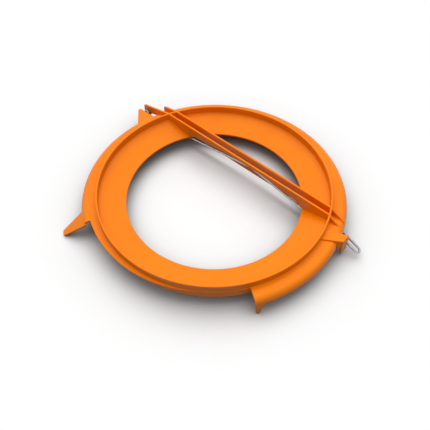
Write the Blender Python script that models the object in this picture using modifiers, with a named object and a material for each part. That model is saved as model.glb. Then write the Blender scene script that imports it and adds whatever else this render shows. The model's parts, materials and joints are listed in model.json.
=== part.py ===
"""Transport guard for a round cutting blade: a moulded ring and a hinged spring wire.

Units are metres and +Z is up. The pieces are modelled level, with the ring's axis on Z and the top of
its wall at Z = 0, under one empty. The empty then leans the guard as it settles on a table, on the
three lowest points that hold it up, and centres it over the origin. X runs along the cross-bar, from
the hinge to the catch, and Y points to the side on which the bar lies.
"""

import math

import bpy
import bmesh
from mathutils import Matrix, Vector

# Moulded ring
FLANGE_RADIUS = 0.125
FLANGE_REACH = 0.0145
WALL_THICK = 0.002
WALL_HEIGHT = 0.016
WALL_EDGE_ROUND = 0.0006
PLATE_WIDTH = 0.0272
PLATE_EDGE_DEPTH = 0.0143
SHEET = 0.002
FLANGE_DROP = 0.0075
ROLL_RADIUS = 0.0065
SKIRT_BELOW_ROLL = 0.0009
RING_STEPS = 120
ARC_STEPS = 6

# Cut-out in the flange, with the narrow strip that tapers away along it
CUT_START_DEG = -121.0
CUT_END_DEG = -32.5
STRIP_END_DEG = -56.0
STRIP_WIDTH = 0.0071
STRIP_LEFT_OVER = 0.0004
CUT_STEPS = 24

# Cross-bar of two ribs
RIB_THICK = 0.002
NEAR_RIB_Y = 0.0429
RIB_SPACING = 0.0078
RIB_TOP_DEPTH = 0.0002
NEAR_ARCH_X = 0.008
NEAR_ARCH_DEPTH = 0.0024
FAR_RIB_DEPTH = 0.0196
FAR_RIB_RISE_RUN = 0.008
RAMP_SET_IN = 0.003
NEAR_RAMP_END_DEPTH = 0.0095
FAR_RAMP_END_DEPTH = 0.0085
FAR_TAIL_OVERHANG = 0.0014
FAR_TAIL_DEPTH = 0.0034
CORNER_ROUND = 0.002

# Hinge: two ears, a pin and a lug that carries the outer ear
PIN_RADIUS = 0.0015
PIN_BEYOND_FLANGE = 0.006
PIN_PROUD = 0.0004
EAR_GAP = 0.0065
INNER_EAR_MARGIN = 0.0072
INNER_EAR_TOP_DEPTH = 0.0084
OUTER_EAR_MARGIN = 0.0063
OUTER_EAR_TOP_DEPTH = 0.009
EAR_BOSS_RADIUS = 0.0038
LUG_TOP_DEPTH = 0.0088
LUG_ROOT_DEG = 171.3
LUG_TIP_WIDTH = 0.001

# Catch: a level bridge that ends in an upright plate
CATCH_TOP_DEPTH = 0.006
CATCH_PLATE_REACH = 0.0005
CATCH_TO_BAR = 0.0038
CATCH_PLATE_WIDTH = 0.0098
CATCH_PLATE_DEPTH = 0.0246
CATCH_CORNER_ROUND = 0.001
CATCH_PLATE_LIP = 0.0003
CATCH_FAR_ROOT_DEG = 16.5
CATCH_NEAR_ROOT_DEG = 10.0

# Feet
FOOT_DEPTH = 0.0285
LEFT_FOOT_DEG = -124.3
LEFT_FOOT_BASE_WIDTH = 0.0172
LEFT_FOOT_TIP_WIDTH = 0.0062
LEFT_FOOT_TIP_SKEW = -0.0004
LEFT_FOOT_REACH = 0.0194
LEFT_FOOT_BASE_DEPTH = 0.0122
FOOT_ROOT_OVERLAP = 0.0024
RIGHT_FOOT_DEG = -30.0
RIGHT_FOOT_BASE_WIDTH = 0.0096
RIGHT_FOOT_TIP_WIDTH = 0.0024
RIGHT_FOOT_TIP_SET_IN = 0.0014

# Spring wire
WIRE_RADIUS = 0.0011
EYE_TURNS = 1.2
EYE_SELF_GAP = 0.0005
EYE_STEPS_PER_TURN = 20
EYE_TAIL = 0.009
SPAN_SIDE_GAP = 0.0006
BOW_X = 0.0064
BOW_RISE = 0.0078
BOW_RADIUS = 0.010
BEND_RADIUS = 0.008
BEND_STEPS = 5
HAIRPIN_BEND_SET_IN = 0.006
HAIRPIN_SIDE_GAP = 0.0014
HAIRPIN_BEND_DROP = 0.0006
HAIRPIN_LENGTH = 0.016
HAIRPIN_SWEEP = 0.0028
HAIRPIN_DROP = 0.003
HAIRPIN_WIDTH = 0.0052
HAIRPIN_TAIL = 0.009
HAIRPIN_STEPS = 8

# Clearance that every piece keeps to its neighbour, and how far fused shapes reach into each other
GAP = 0.0003
BITE = 0.001
PIN_STEPS = 24

# Places that follow from the sizes above
WALL_RADIUS = FLANGE_RADIUS - FLANGE_REACH
WALL_INNER = WALL_RADIUS - WALL_THICK
HOLE_RADIUS = WALL_RADIUS - PLATE_WIDTH
UNDERSIDE = -WALL_HEIGHT
EAR_WEB_Z = UNDERSIDE + SHEET / 2
FLANGE_MID = -FLANGE_DROP - SHEET / 2
SKIRT_DEPTH = FLANGE_DROP + ROLL_RADIUS + SKIRT_BELOW_ROLL
ROLL_CENTRE_R = FLANGE_RADIUS - ROLL_RADIUS
ROLL_CENTRE_Z = -FLANGE_DROP - ROLL_RADIUS
WALL_MID_R = WALL_RADIUS - WALL_THICK / 2
FAR_RIB_Y = NEAR_RIB_Y + RIB_SPACING
WIRE_RUN_Z = UNDERSIDE - GAP - WIRE_RADIUS
PIN_X = -FLANGE_RADIUS - PIN_BEYOND_FLANGE
ENTRY_Z = min(WIRE_RUN_Z, -PLATE_EDGE_DEPTH - SHEET - WIRE_RADIUS) - GAP
EYE_RADIUS = PIN_RADIUS + GAP + WIRE_RADIUS
EYE_PITCH = 2 * WIRE_RADIUS + EYE_SELF_GAP
PIN_Z = WIRE_RUN_Z + EYE_RADIUS
SLOT_MID_Y = NEAR_RIB_Y - RIB_THICK / 2 - EAR_GAP / 2
OUTER_EAR_Y = SLOT_MID_Y - EAR_GAP / 2 - SHEET / 2
OUTER_EAR_END_X = PIN_X - OUTER_EAR_MARGIN
CATCH_PLATE_X = FLANGE_RADIUS + CATCH_PLATE_REACH
CATCH_PLATE_FAR_Y = NEAR_RIB_Y - CATCH_TO_BAR
CATCH_PLATE_NEAR_Y = CATCH_PLATE_FAR_Y - CATCH_PLATE_WIDTH
LEFT_FOOT_TIP_RADIUS = FLANGE_RADIUS + LEFT_FOOT_REACH
HAIRPIN_BEND_X = FLANGE_RADIUS - HAIRPIN_BEND_SET_IN

# Densities, in kilograms per cubic metre, that say where the guard's weight lies
PLASTIC_DENSITY = 950.0
STEEL_DENSITY = 7850.0

ORANGE = (0.93, 0.19, 0.012, 1.0)
STEEL = (0.62, 0.62, 0.63, 1.0)


def clear_scene():
    """Remove every object and give the model and its tools a collection each."""
    for obj in list(bpy.data.objects):
        bpy.data.objects.remove(obj, do_unlink=True)
    groups = []
    for name in ("blade_transport_guard", "construction_shapes"):
        group = bpy.data.collections.new(name)
        bpy.context.scene.collection.children.link(group)
        groups.append(group)
    return groups


def make_material(name, colour, roughness, metallic):
    """One plain surface finish."""
    material = bpy.data.materials.new(name)
    material.use_nodes = True
    shader = material.node_tree.nodes["Principled BSDF"]
    shader.inputs["Base Color"].default_value = colour
    shader.inputs["Roughness"].default_value = roughness
    shader.inputs["Metallic"].default_value = metallic
    return material


def polar(radius, degrees):
    """Plan point at a radius and an angle from +X."""
    angle = math.radians(degrees)
    return (radius * math.cos(angle), radius * math.sin(angle))


def half_chord(radius, offset):
    """Half the length of a circle's chord that lies at an offset from its centre."""
    return math.sqrt(radius * radius - offset * offset)


def arc(centre, radius, start_deg, end_deg, steps=ARC_STEPS):
    """Points along a round stretch of an outline."""
    points = []
    for index in range(steps + 1):
        degrees = start_deg + (end_deg - start_deg) * index / steps
        offset = polar(radius, degrees)
        points.append((centre[0] + offset[0], centre[1] + offset[1]))
    return points


def mirrored(points):
    """The same stretch of a side outline on the -X side, walked the other way."""
    return [(-x, z) for x, z in reversed(points)]


def inset(points, distances):
    """Move each edge of a convex anticlockwise outline inwards by its own distance."""
    count = len(points)
    lines = []
    for index in range(count):
        start = Vector(points[index])
        along = (Vector(points[(index + 1) % count]) - start).normalized()
        inwards = Vector((-along.y, along.x))
        lines.append((start + inwards * distances[index], along))
    corners = []
    for index in range(count):
        first, first_along = lines[index - 1]
        second, second_along = lines[index]
        cross = first_along.cross(second_along)
        reach = (second - first).cross(second_along) / cross
        corners.append(tuple(first + first_along * reach))
    return corners


class Shop:
    """The empty that carries the guard, its collections, and the ways of making shapes."""

    def __init__(self):
        self.parts, self.tools = clear_scene()
        self.frame = bpy.data.objects.new("guard_frame", None)
        self.parts.objects.link(self.frame)

    def place(self, obj, group, matrix=Matrix.Identity(4)):
        """Put an object in a collection, at a place in the guard's own frame."""
        group.objects.link(obj)
        obj.parent = self.frame
        obj.matrix_local = matrix
        return obj

    def slab(self, name, outline, thickness, matrix):
        """A flat outline with a thickness, as a hidden mesh for joining or cutting."""
        curve = bpy.data.curves.new(name, "CURVE")
        curve.dimensions = "2D"
        curve.fill_mode = "BOTH"
        curve.extrude = thickness / 2
        spline = curve.splines.new("POLY")
        spline.points.add(len(outline) - 1)
        for point, (u, v) in zip(spline.points, outline):
            point.co = (u, v, 0.0, 1.0)
        spline.use_cyclic_u = True
        flat = bpy.data.objects.new(name + "_outline", curve)
        self.tools.objects.link(flat)
        bpy.context.view_layer.update()
        depsgraph = bpy.context.evaluated_depsgraph_get()
        mesh = bpy.data.meshes.new_from_object(flat.evaluated_get(depsgraph))
        bpy.data.objects.remove(flat, do_unlink=True)
        shape = bmesh.new()
        shape.from_mesh(mesh)
        bmesh.ops.remove_doubles(shape, verts=shape.verts, dist=1e-6)
        bmesh.ops.recalc_face_normals(shape, faces=shape.faces)
        shape.to_mesh(mesh)
        shape.free()
        return self.tool(bpy.data.objects.new(name, mesh), matrix)

    def tool(self, obj, matrix):
        """Hide a shape that only joins or cuts another."""
        obj.hide_render = True
        obj.display_type = "WIRE"
        return self.place(obj, self.tools, matrix)

    def side_slab(self, name, outline, y, thickness):
        """A slab standing along the bar: its outline is in X and Z."""
        upright = Matrix.Translation((0, y, 0)) @ Matrix.Rotation(math.radians(90), 4, "X")
        return self.slab(name, outline, thickness, upright)

    def plan_slab(self, name, outline, low, high):
        """A slab lying flat: its outline is in X and Y."""
        return self.slab(name, outline, high - low, Matrix.Translation((0, 0, (low + high) / 2)))


def combine(base, tool, operation, thorough=False):
    """Join a tool to a piece, or cut it out of the piece; a thorough join is slower and safer."""
    modifier = base.modifiers.new(tool.name, "BOOLEAN")
    modifier.operation = operation
    modifier.solver = "EXACT"
    modifier.use_self = thorough
    modifier.object = tool


def plate_middle(radius):
    """Height of the middle of the dished plate, which slopes down from the wall to the hole."""
    share = min(1.0, (WALL_INNER - radius) / (WALL_INNER - HOLE_RADIUS))
    return FLANGE_MID - max(0.0, share) * (PLATE_EDGE_DEPTH - FLANGE_DROP)


def ring_profile():
    """Closed section of the ring: wall, rolled flange and dished plate, from the wall's top and outwards."""
    edge = WALL_EDGE_ROUND
    roll = (ROLL_CENTRE_R, ROLL_CENTRE_Z)
    section = arc((WALL_INNER + edge, -edge), edge, 180, 90, 3)
    section += arc((WALL_RADIUS - edge, -edge), edge, 90, 0, 3)
    section.append((WALL_RADIUS, -FLANGE_DROP))
    section += arc(roll, ROLL_RADIUS, 90, 0)
    section.append((FLANGE_RADIUS, -SKIRT_DEPTH))
    section.append((FLANGE_RADIUS - SHEET, -SKIRT_DEPTH))
    section += arc(roll, ROLL_RADIUS - SHEET, 0, 90)
    section.append((WALL_RADIUS, -FLANGE_DROP - SHEET))
    section.append((WALL_RADIUS, UNDERSIDE))
    section.append((WALL_INNER, UNDERSIDE))
    section.append((WALL_INNER, -FLANGE_DROP - SHEET))
    section.append((HOLE_RADIUS, -PLATE_EDGE_DEPTH - SHEET))
    section.append((HOLE_RADIUS, -PLATE_EDGE_DEPTH))
    section.append((WALL_INNER, -FLANGE_DROP))
    return section


def turned_ring(shop):
    """The ring's round body, turned about Z."""
    section = ring_profile()
    count = len(section)
    mesh = bpy.data.meshes.new("guard_ring")
    edges = [(index, (index + 1) % count) for index in range(count)]
    mesh.from_pydata([(r, 0.0, z) for r, z in section], edges, [])
    ring = shop.place(bpy.data.objects.new("guard_ring", mesh), shop.parts)
    screw = ring.modifiers.new("turn", "SCREW")
    screw.axis = "Z"
    screw.angle = math.tau
    screw.steps = RING_STEPS
    screw.render_steps = RING_STEPS
    screw.use_merge_vertices = True
    screw.merge_threshold = 0.00001
    return ring


def flange_cut(shop):
    """Cutter for the cut-out: outside the tapering strip, between the two feet."""
    outline = []
    taper = STRIP_END_DEG - CUT_START_DEG
    for index in range(CUT_STEPS + 1):
        degrees = CUT_START_DEG + (CUT_END_DEG - CUT_START_DEG) * index / CUT_STEPS
        width = STRIP_WIDTH * max(0.0, (STRIP_END_DEG - degrees) / taper)
        outline.append(polar(WALL_RADIUS + STRIP_LEFT_OVER + width, degrees))
    outline += arc((0, 0), FLANGE_RADIUS + ROLL_RADIUS, CUT_END_DEG, CUT_START_DEG, CUT_STEPS)
    return shop.plan_slab("flange_cut", outline, UNDERSIDE - SHEET, SHEET)


def flange_middle(offset, end_deg):
    """Middle of the flange's sheet under a rib at an offset, from the wall out to the roll."""
    points = [(half_chord(WALL_MID_R, offset), FLANGE_MID)]
    for r, z in arc((ROLL_CENTRE_R, ROLL_CENTRE_Z), ROLL_RADIUS - SHEET / 2, 90, end_deg, 4):
        points.append((half_chord(r, offset), z))
    return points


def over_plate(offset):
    """Middle of the plate's sheet under a rib at an offset, from the wall in to the hole's edge."""
    wall_x = half_chord(WALL_INNER, offset)
    hole_x = half_chord(HOLE_RADIUS, offset - RIB_THICK / 2) + BITE
    points = []
    for index in range(ARC_STEPS + 1):
        x = wall_x + (hole_x - wall_x) * index / ARC_STEPS
        points.append((x, plate_middle(math.hypot(x, offset))))
    return points


def rib_foot(offset, end_deg):
    """Lower edge of a rib's +X end, inward over the flange and down along the plate."""
    return list(reversed(flange_middle(offset, end_deg))) + over_plate(offset)


def ear_end(margin, top_depth):
    """Outer end of a clevis ear, from its lower edge round the pin's boss and up to its top."""
    tip_x = PIN_X - margin + CORNER_ROUND
    low = PIN_Z - EAR_BOSS_RADIUS
    start = math.degrees(math.asin((EAR_WEB_Z - PIN_Z) / EAR_BOSS_RADIUS))
    points = arc((PIN_X, PIN_Z), EAR_BOSS_RADIUS, start, -90)
    points += arc((tip_x, low + CORNER_ROUND), CORNER_ROUND, -90, -180, 3)
    points += arc((tip_x, -top_depth - CORNER_ROUND), CORNER_ROUND, 180, 90, 3)
    return points


def near_rib(shop):
    """Near rib of the bar: arched over the hole, ramped at the catch, and an ear at the hinge."""
    wall_x = half_chord(WALL_MID_R, NEAR_RIB_Y)
    ramp_x = half_chord(WALL_RADIUS, NEAR_RIB_Y) - RAMP_SET_IN
    foot = rib_foot(NEAR_RIB_Y, 12)
    outline = [(-wall_x, -RIB_TOP_DEPTH), (ramp_x, -RIB_TOP_DEPTH)]
    outline.append((foot[0][0], -NEAR_RAMP_END_DEPTH))
    outline += foot
    outline.append((NEAR_ARCH_X, -NEAR_ARCH_DEPTH))
    outline += mirrored(over_plate(NEAR_RIB_Y))
    outline += ear_end(INNER_EAR_MARGIN, INNER_EAR_TOP_DEPTH)
    return shop.side_slab("near_rib", outline, NEAR_RIB_Y, RIB_THICK)


def far_rib(shop):
    """Far rib of the bar: deeper over the hole, ramped at the catch, square at the hinge end."""
    wall_x = half_chord(WALL_MID_R, FAR_RIB_Y)
    ramp_x = half_chord(WALL_RADIUS, FAR_RIB_Y) - RAMP_SET_IN / 3
    foot = rib_foot(FAR_RIB_Y, 12)
    tail_x = -half_chord(FLANGE_RADIUS, FAR_RIB_Y) - FAR_TAIL_OVERHANG
    outline = [(-wall_x, -RIB_TOP_DEPTH), (ramp_x, -RIB_TOP_DEPTH)]
    outline.append((foot[0][0], -FAR_RAMP_END_DEPTH))
    outline += foot
    deep_x = half_chord(HOLE_RADIUS, FAR_RIB_Y) - FAR_RIB_RISE_RUN
    outline += [(deep_x, -FAR_RIB_DEPTH), (-deep_x, -FAR_RIB_DEPTH)]
    outline += mirrored(foot)
    outline.append((tail_x, foot[0][1]))
    corner = (tail_x + CORNER_ROUND, -FAR_TAIL_DEPTH - CORNER_ROUND)
    outline += arc(corner, CORNER_ROUND, 180, 90, 3)
    return shop.side_slab("far_rib", outline, FAR_RIB_Y, RIB_THICK)


def outer_ear(shop):
    """Clevis ear on the near side, from the ring's wall out past the pin."""
    wall_x = half_chord(WALL_MID_R, OUTER_EAR_Y)
    outline = [(-wall_x, -OUTER_EAR_TOP_DEPTH), (-wall_x, EAR_WEB_Z)]
    outline += ear_end(OUTER_EAR_MARGIN, OUTER_EAR_TOP_DEPTH)
    return shop.side_slab("outer_ear", outline, OUTER_EAR_Y, SHEET)


def hollow_block(shop, name, outline, walls, top):
    """A block moulded as a shell: a roof and side walls, open underneath."""
    block = shop.plan_slab(name, outline, -SKIRT_DEPTH + BITE / 2, top)
    hollow = shop.plan_slab(name + "_hollow", inset(outline, walls), UNDERSIDE - SHEET, top - SHEET)
    combine(block, hollow, "DIFFERENCE")
    return block


def hinge_lug(shop):
    """Widened flange that carries the outer ear; its skirt slants out to the ear's tip."""
    tip_y = OUTER_EAR_Y - SHEET / 2 - LUG_TIP_WIDTH
    ear_root = (-half_chord(WALL_MID_R, OUTER_EAR_Y), OUTER_EAR_Y)
    end_x = OUTER_EAR_END_X + BITE / 2
    outline = [ear_root, (end_x, OUTER_EAR_Y), (end_x, tip_y)]
    outline += [polar(FLANGE_RADIUS, LUG_ROOT_DEG), polar(WALL_MID_R, LUG_ROOT_DEG)]
    return hollow_block(shop, "hinge_lug", outline, (-BITE / 2, SHEET, SHEET, SHEET, 0), -LUG_TOP_DEPTH)


def catch_bridge(shop):
    """Level bridge from the ring's wall to the catch's plate."""
    plate_x = CATCH_PLATE_X - SHEET / 2
    outline = [polar(WALL_MID_R, CATCH_NEAR_ROOT_DEG), (plate_x, CATCH_PLATE_NEAR_Y)]
    outline += [(plate_x, CATCH_PLATE_FAR_Y - BITE / 2), polar(WALL_MID_R, CATCH_FAR_ROOT_DEG)]
    return hollow_block(shop, "catch_bridge", outline, (SHEET, -BITE, SHEET, 0), -CATCH_TOP_DEPTH)


def catch_plate(shop):
    """Upright plate at the end of the bridge, beside which the wire's hairpin is clipped."""
    low = -CATCH_PLATE_DEPTH
    high = -CATCH_TOP_DEPTH + CATCH_PLATE_LIP
    middle_y = (CATCH_PLATE_NEAR_Y + CATCH_PLATE_FAR_Y) / 2
    half_width = (CATCH_PLATE_FAR_Y - CATCH_PLATE_NEAR_Y) / 2
    corner = CATCH_CORNER_ROUND
    outline = [(half_width, high), (-half_width, high)]
    outline += arc((-half_width + corner, low + corner), corner, 180, 270, 3)
    outline += arc((half_width - corner, low + corner), corner, 270, 360, 3)
    across = Matrix.Rotation(math.radians(90), 4, "Z") @ Matrix.Rotation(math.radians(90), 4, "X")
    place = Matrix.Translation((CATCH_PLATE_X - SHEET / 2, middle_y, 0)) @ across
    return shop.slab("catch_plate", outline, SHEET, place)


def left_foot_axis():
    """Middle of the left foot in its radial plane: root, tip and the slope between them."""
    root = Vector((FLANGE_RADIUS - SHEET / 2, -LEFT_FOOT_BASE_DEPTH))
    slope = math.atan2(FOOT_DEPTH - LEFT_FOOT_BASE_DEPTH, LEFT_FOOT_TIP_RADIUS - root.x)
    tip = Vector((LEFT_FOOT_TIP_RADIUS, -FOOT_DEPTH + SHEET / 2 * math.cos(slope)))
    return root, tip


def left_foot(shop):
    """Splayed foot: a tapered tab that leaves the flange's roll and slopes out and down."""
    root, tip = left_foot_axis()
    run = tip - root
    length = run.length
    half_base = LEFT_FOOT_BASE_WIDTH / 2
    tip_low = LEFT_FOOT_TIP_SKEW - LEFT_FOOT_TIP_WIDTH / 2
    tip_high = LEFT_FOOT_TIP_SKEW + LEFT_FOOT_TIP_WIDTH / 2
    outline = [(-half_base, -FOOT_ROOT_OVERLAP), (half_base, -FOOT_ROOT_OVERLAP), (half_base, 0.0)]
    outline += [(tip_high, length), (tip_low, length), (-half_base, 0.0)]
    slope = math.atan2(run.y, run.x)
    turn = Matrix.Rotation(math.radians(LEFT_FOOT_DEG + 90), 4, "Z")
    lean = Matrix.Rotation(math.pi - slope, 4, "X")
    where = Matrix.Translation((*polar(root.x, LEFT_FOOT_DEG), root.y))
    return shop.slab("left_foot", outline, SHEET, where @ turn @ lean)


def right_foot(shop):
    """Upright foot: the skirt drawn down to a point, straight beside the cut-out and hollow opposite."""
    half_base = RIGHT_FOOT_BASE_WIDTH / 2
    tip_start = -half_base + RIGHT_FOOT_TIP_SET_IN
    tip_end = tip_start + RIGHT_FOOT_TIP_WIDTH
    root_z = -SKIRT_DEPTH + BITE
    drop = FOOT_DEPTH - SKIRT_DEPTH
    outline = [(-half_base, root_z), (-half_base, -SKIRT_DEPTH), (tip_start, -FOOT_DEPTH)]
    for index in range(ARC_STEPS + 1):
        share = index / ARC_STEPS
        outline.append((tip_end + (half_base - tip_end) * share ** 2, -FOOT_DEPTH + drop * share))
    outline.append((half_base, root_z))
    turn = Matrix.Rotation(math.radians(RIGHT_FOOT_DEG + 90), 4, "Z")
    upright = Matrix.Rotation(math.radians(90), 4, "X")
    where = Matrix.Translation((*polar(FLANGE_RADIUS - SHEET / 2, RIGHT_FOOT_DEG), 0))
    return shop.slab("right_foot", outline, SHEET, where @ turn @ upright)


def pin_cylinder(shop, name, radius, low_y, high_y):
    """Round bar along the hinge's axis, with its origin on that axis."""
    mesh = bpy.data.meshes.new(name)
    shape = bmesh.new()
    length = high_y - low_y
    bmesh.ops.create_cone(
        shape, cap_ends=True, segments=PIN_STEPS, radius1=radius, radius2=radius, depth=length)
    bmesh.ops.rotate(shape, verts=shape.verts, matrix=Matrix.Rotation(math.radians(90), 3, "X"))
    shape.to_mesh(mesh)
    shape.free()
    mesh.shade_smooth()
    mesh.set_sharp_from_angle(angle=math.radians(40))
    middle = Matrix.Translation((PIN_X, (low_y + high_y) / 2, PIN_Z))
    return bpy.data.objects.new(name, mesh), middle


def guard_ring(shop, plastic):
    """The one-piece moulding: ring, cut-out, bar, hinge ears, catch and feet."""
    ring = turned_ring(shop)
    combine(ring, flange_cut(shop), "DIFFERENCE")
    features = [near_rib, far_rib, outer_ear, hinge_lug, catch_bridge, catch_plate, left_foot, right_foot]
    for feature in features:
        combine(ring, feature(shop), "UNION", feature is near_rib)
    low_y = OUTER_EAR_Y - SHEET
    high_y = NEAR_RIB_Y + RIB_THICK
    hole, place = pin_cylinder(shop, "pin_hole", PIN_RADIUS + GAP, low_y, high_y)
    combine(ring, shop.tool(hole, place), "DIFFERENCE")
    ring.data.materials.append(plastic)
    return ring


def hinge_pin(shop, steel):
    """Straight pin through both ears."""
    low_y = OUTER_EAR_Y - SHEET / 2 - PIN_PROUD
    high_y = NEAR_RIB_Y + RIB_THICK / 2 + PIN_PROUD
    pin, place = pin_cylinder(shop, "hinge_pin", PIN_RADIUS, low_y, high_y)
    pin.data.materials.append(steel)
    return shop.place(pin, shop.parts, place)


def bent(points, radii):
    """A path of straight runs whose inner corners are bent to the given radii."""
    path = [points[0]]
    for index in range(1, len(points) - 1):
        corner = points[index]
        back = (points[index - 1] - corner).normalized()
        onward = (points[index + 1] - corner).normalized()
        half_angle = back.angle(onward) / 2
        radius = radii[index - 1]
        reach = radius / math.tan(half_angle)
        centre = corner + (back + onward).normalized() * (radius / math.sin(half_angle))
        first = corner + back * reach - centre
        last = corner + onward * reach - centre
        sweep = math.pi - 2 * half_angle
        for step in range(BEND_STEPS + 1):
            share = step / BEND_STEPS
            blend = first * math.sin((1 - share) * sweep) + last * math.sin(share * sweep)
            path.append(centre + blend / math.sin(sweep))
    path.append(points[-1])
    return path


def eye_coil():
    """Coil round the pin, ending at its lowest point and heading for +X."""
    points = []
    steps = round(EYE_TURNS * EYE_STEPS_PER_TURN)
    leave_y = SLOT_MID_Y + EYE_PITCH * EYE_TURNS / 2
    for index in range(steps):
        turn = (index / steps - 1) * EYE_TURNS
        angle = math.tau * turn
        x = PIN_X + EYE_RADIUS * math.sin(angle)
        z = PIN_Z - EYE_RADIUS * math.cos(angle)
        points.append(Vector((x, leave_y + EYE_PITCH * turn, z)))
    return points, Vector((PIN_X, leave_y, WIRE_RUN_Z))


def wire_path():
    """Centre line of the whole wire, from the coil's free end to the hairpin's."""
    coil, leave = eye_coil()
    entry_y = NEAR_RIB_Y + RIB_THICK / 2 + SPAN_SIDE_GAP
    entry_x = half_chord(HOLE_RADIUS, entry_y) + BITE
    bow_y = FAR_RIB_Y - RIB_THICK / 2 - SPAN_SIDE_GAP - WIRE_RADIUS
    bend_z = ENTRY_Z - HAIRPIN_BEND_DROP
    bend_y = CATCH_PLATE_FAR_Y + HAIRPIN_SIDE_GAP + WIRE_RADIUS
    strand = Vector((HAIRPIN_LENGTH, -HAIRPIN_SWEEP, -HAIRPIN_DROP))
    across = Vector((0, HAIRPIN_WIDTH, 0))
    near_bend = Vector((HAIRPIN_BEND_X, bend_y, bend_z))
    near_end = near_bend + strand
    runs = [leave, leave + Vector((EYE_TAIL, 0, 0))]
    runs += [Vector((-entry_x, entry_y, ENTRY_Z)), Vector((BOW_X, bow_y, ENTRY_Z + BOW_RISE))]
    runs += [Vector((entry_x, entry_y, ENTRY_Z)), near_bend, near_end]
    path = coil + bent(runs, (BEND_RADIUS, BEND_RADIUS, BOW_RADIUS, BEND_RADIUS, BEND_RADIUS))
    middle = near_end + across / 2
    outwards = strand.normalized() * (HAIRPIN_WIDTH / 2)
    for index in range(1, HAIRPIN_STEPS):
        angle = math.pi * index / HAIRPIN_STEPS
        path.append(middle - across / 2 * math.cos(angle) + outwards * math.sin(angle))
    far_bend = near_bend + across
    tail = far_bend - Vector((HAIRPIN_TAIL, 0, 0))
    path += bent([near_end + across, far_bend, tail], (BEND_RADIUS,))
    return path


def least_coil_gap(points):
    """Smallest clear distance between one turn of the coil and the next."""
    apart = EYE_STEPS_PER_TURN // 2
    gaps = []
    for index, point in enumerate(points):
        for other in points[index + apart:]:
            gaps.append((other - point).length - 2 * WIRE_RADIUS)
    return min(gaps)


def spring_wire(shop, steel):
    """Sprung wire with its origin on the hinge's axis."""
    path = wire_path()
    origin = Vector((PIN_X, SLOT_MID_Y, PIN_Z))
    curve = bpy.data.curves.new("spring_wire", "CURVE")
    curve.dimensions = "3D"
    curve.bevel_depth = WIRE_RADIUS
    curve.bevel_resolution = 2
    curve.use_fill_caps = True
    spline = curve.splines.new("POLY")
    spline.points.add(len(path) - 1)
    for point, place in zip(spline.points, path):
        point.co = (*(place - origin), 1.0)
    curve.materials.append(steel)
    print("least gap in the coil, mm:", round(least_coil_gap(eye_coil()[0]) * 1000, 2))
    wire = bpy.data.objects.new("spring_wire", curve)
    return shop.place(wire, shop.parts, Matrix.Translation(origin))


def weigh(pieces):
    """Corners of the pieces in the guard's frame, and the point where their weight balances."""
    bpy.context.view_layer.update()
    depsgraph = bpy.context.evaluated_depsgraph_get()
    corners = []
    moment = Vector()
    weight = 0.0
    for piece, density in pieces:
        solid = piece.evaluated_get(depsgraph)
        mesh = solid.to_mesh()
        places = [solid.matrix_world @ vertex.co for vertex in mesh.vertices]
        mesh.calc_loop_triangles()
        for triangle in mesh.loop_triangles:
            a, b, c = (places[index] for index in triangle.vertices)
            share = density * a.dot(b.cross(c)) / 6
            moment += share * (a + b + c) / 4
            weight += share
        corners += places
        solid.to_mesh_clear()
    return corners, moment / weight


def resting_turn(corners, balance):
    """Turn that lays flat the face of the hull on which the balance point stands."""
    hull = bmesh.new()
    for corner in corners:
        hull.verts.new(corner)
    bmesh.ops.convex_hull(hull, input=hull.verts)
    turn = Matrix.Identity(3)
    for face in hull.faces:
        normal = face.normal
        below = balance + normal * normal.dot(face.verts[0].co - balance)
        inside = all(
            normal.dot((loop.link_loop_next.vert.co - loop.vert.co).cross(below - loop.vert.co)) >= 0
            for loop in face.loops)
        if inside and normal.z < -0.9:
            turn = normal.rotation_difference(Vector((0, 0, -1))).to_matrix()
    hull.free()
    return turn


def set_down(shop, pieces):
    """Settle the guard on a table at Z = 0, with its box centred over the origin."""
    corners, balance = weigh(pieces)
    turn = resting_turn(corners, balance)
    settled = [turn @ corner for corner in corners]
    low = [min(corner[axis] for corner in settled) for axis in range(3)]
    high = [max(corner[axis] for corner in settled) for axis in range(3)]
    middle = Vector((-(low[0] + high[0]) / 2, -(low[1] + high[1]) / 2, -low[2]))
    shop.frame.matrix_world = Matrix.Translation(middle) @ turn.to_4x4()
    bpy.context.view_layer.update()


def main():
    """Build the guard."""
    shop = Shop()
    plastic = make_material("orange_plastic", ORANGE, 0.42, 0.0)
    wire_steel = make_material("spring_steel", STEEL, 0.28, 1.0)
    pin_steel = make_material("pin_steel", STEEL, 0.34, 1.0)
    pieces = [(guard_ring(shop, plastic), PLASTIC_DENSITY)]
    pieces.append((hinge_pin(shop, pin_steel), STEEL_DENSITY))
    pieces.append((spring_wire(shop, wire_steel), STEEL_DENSITY))
    set_down(shop, pieces)


main()
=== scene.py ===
"""Finished look of a blade transport guard: a moulded orange ring with a hinged spring wire.

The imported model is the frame. The ring, the wire and the pin are drawn here as finer surfaces in the
guard's own level frame, with the ring's axis on Z, the top of its wall at Z = 0 and X along the bar from
the hinge to the catch. One turn and shift, read from the record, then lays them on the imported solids.
Lengths are metres throughout.
"""

from __future__ import annotations

import json
import logging
import math
from dataclasses import dataclass, field
from enum import Enum
from typing import Any, Sequence

import bpy
import numpy as np
from mathutils import Matrix, Vector

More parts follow.
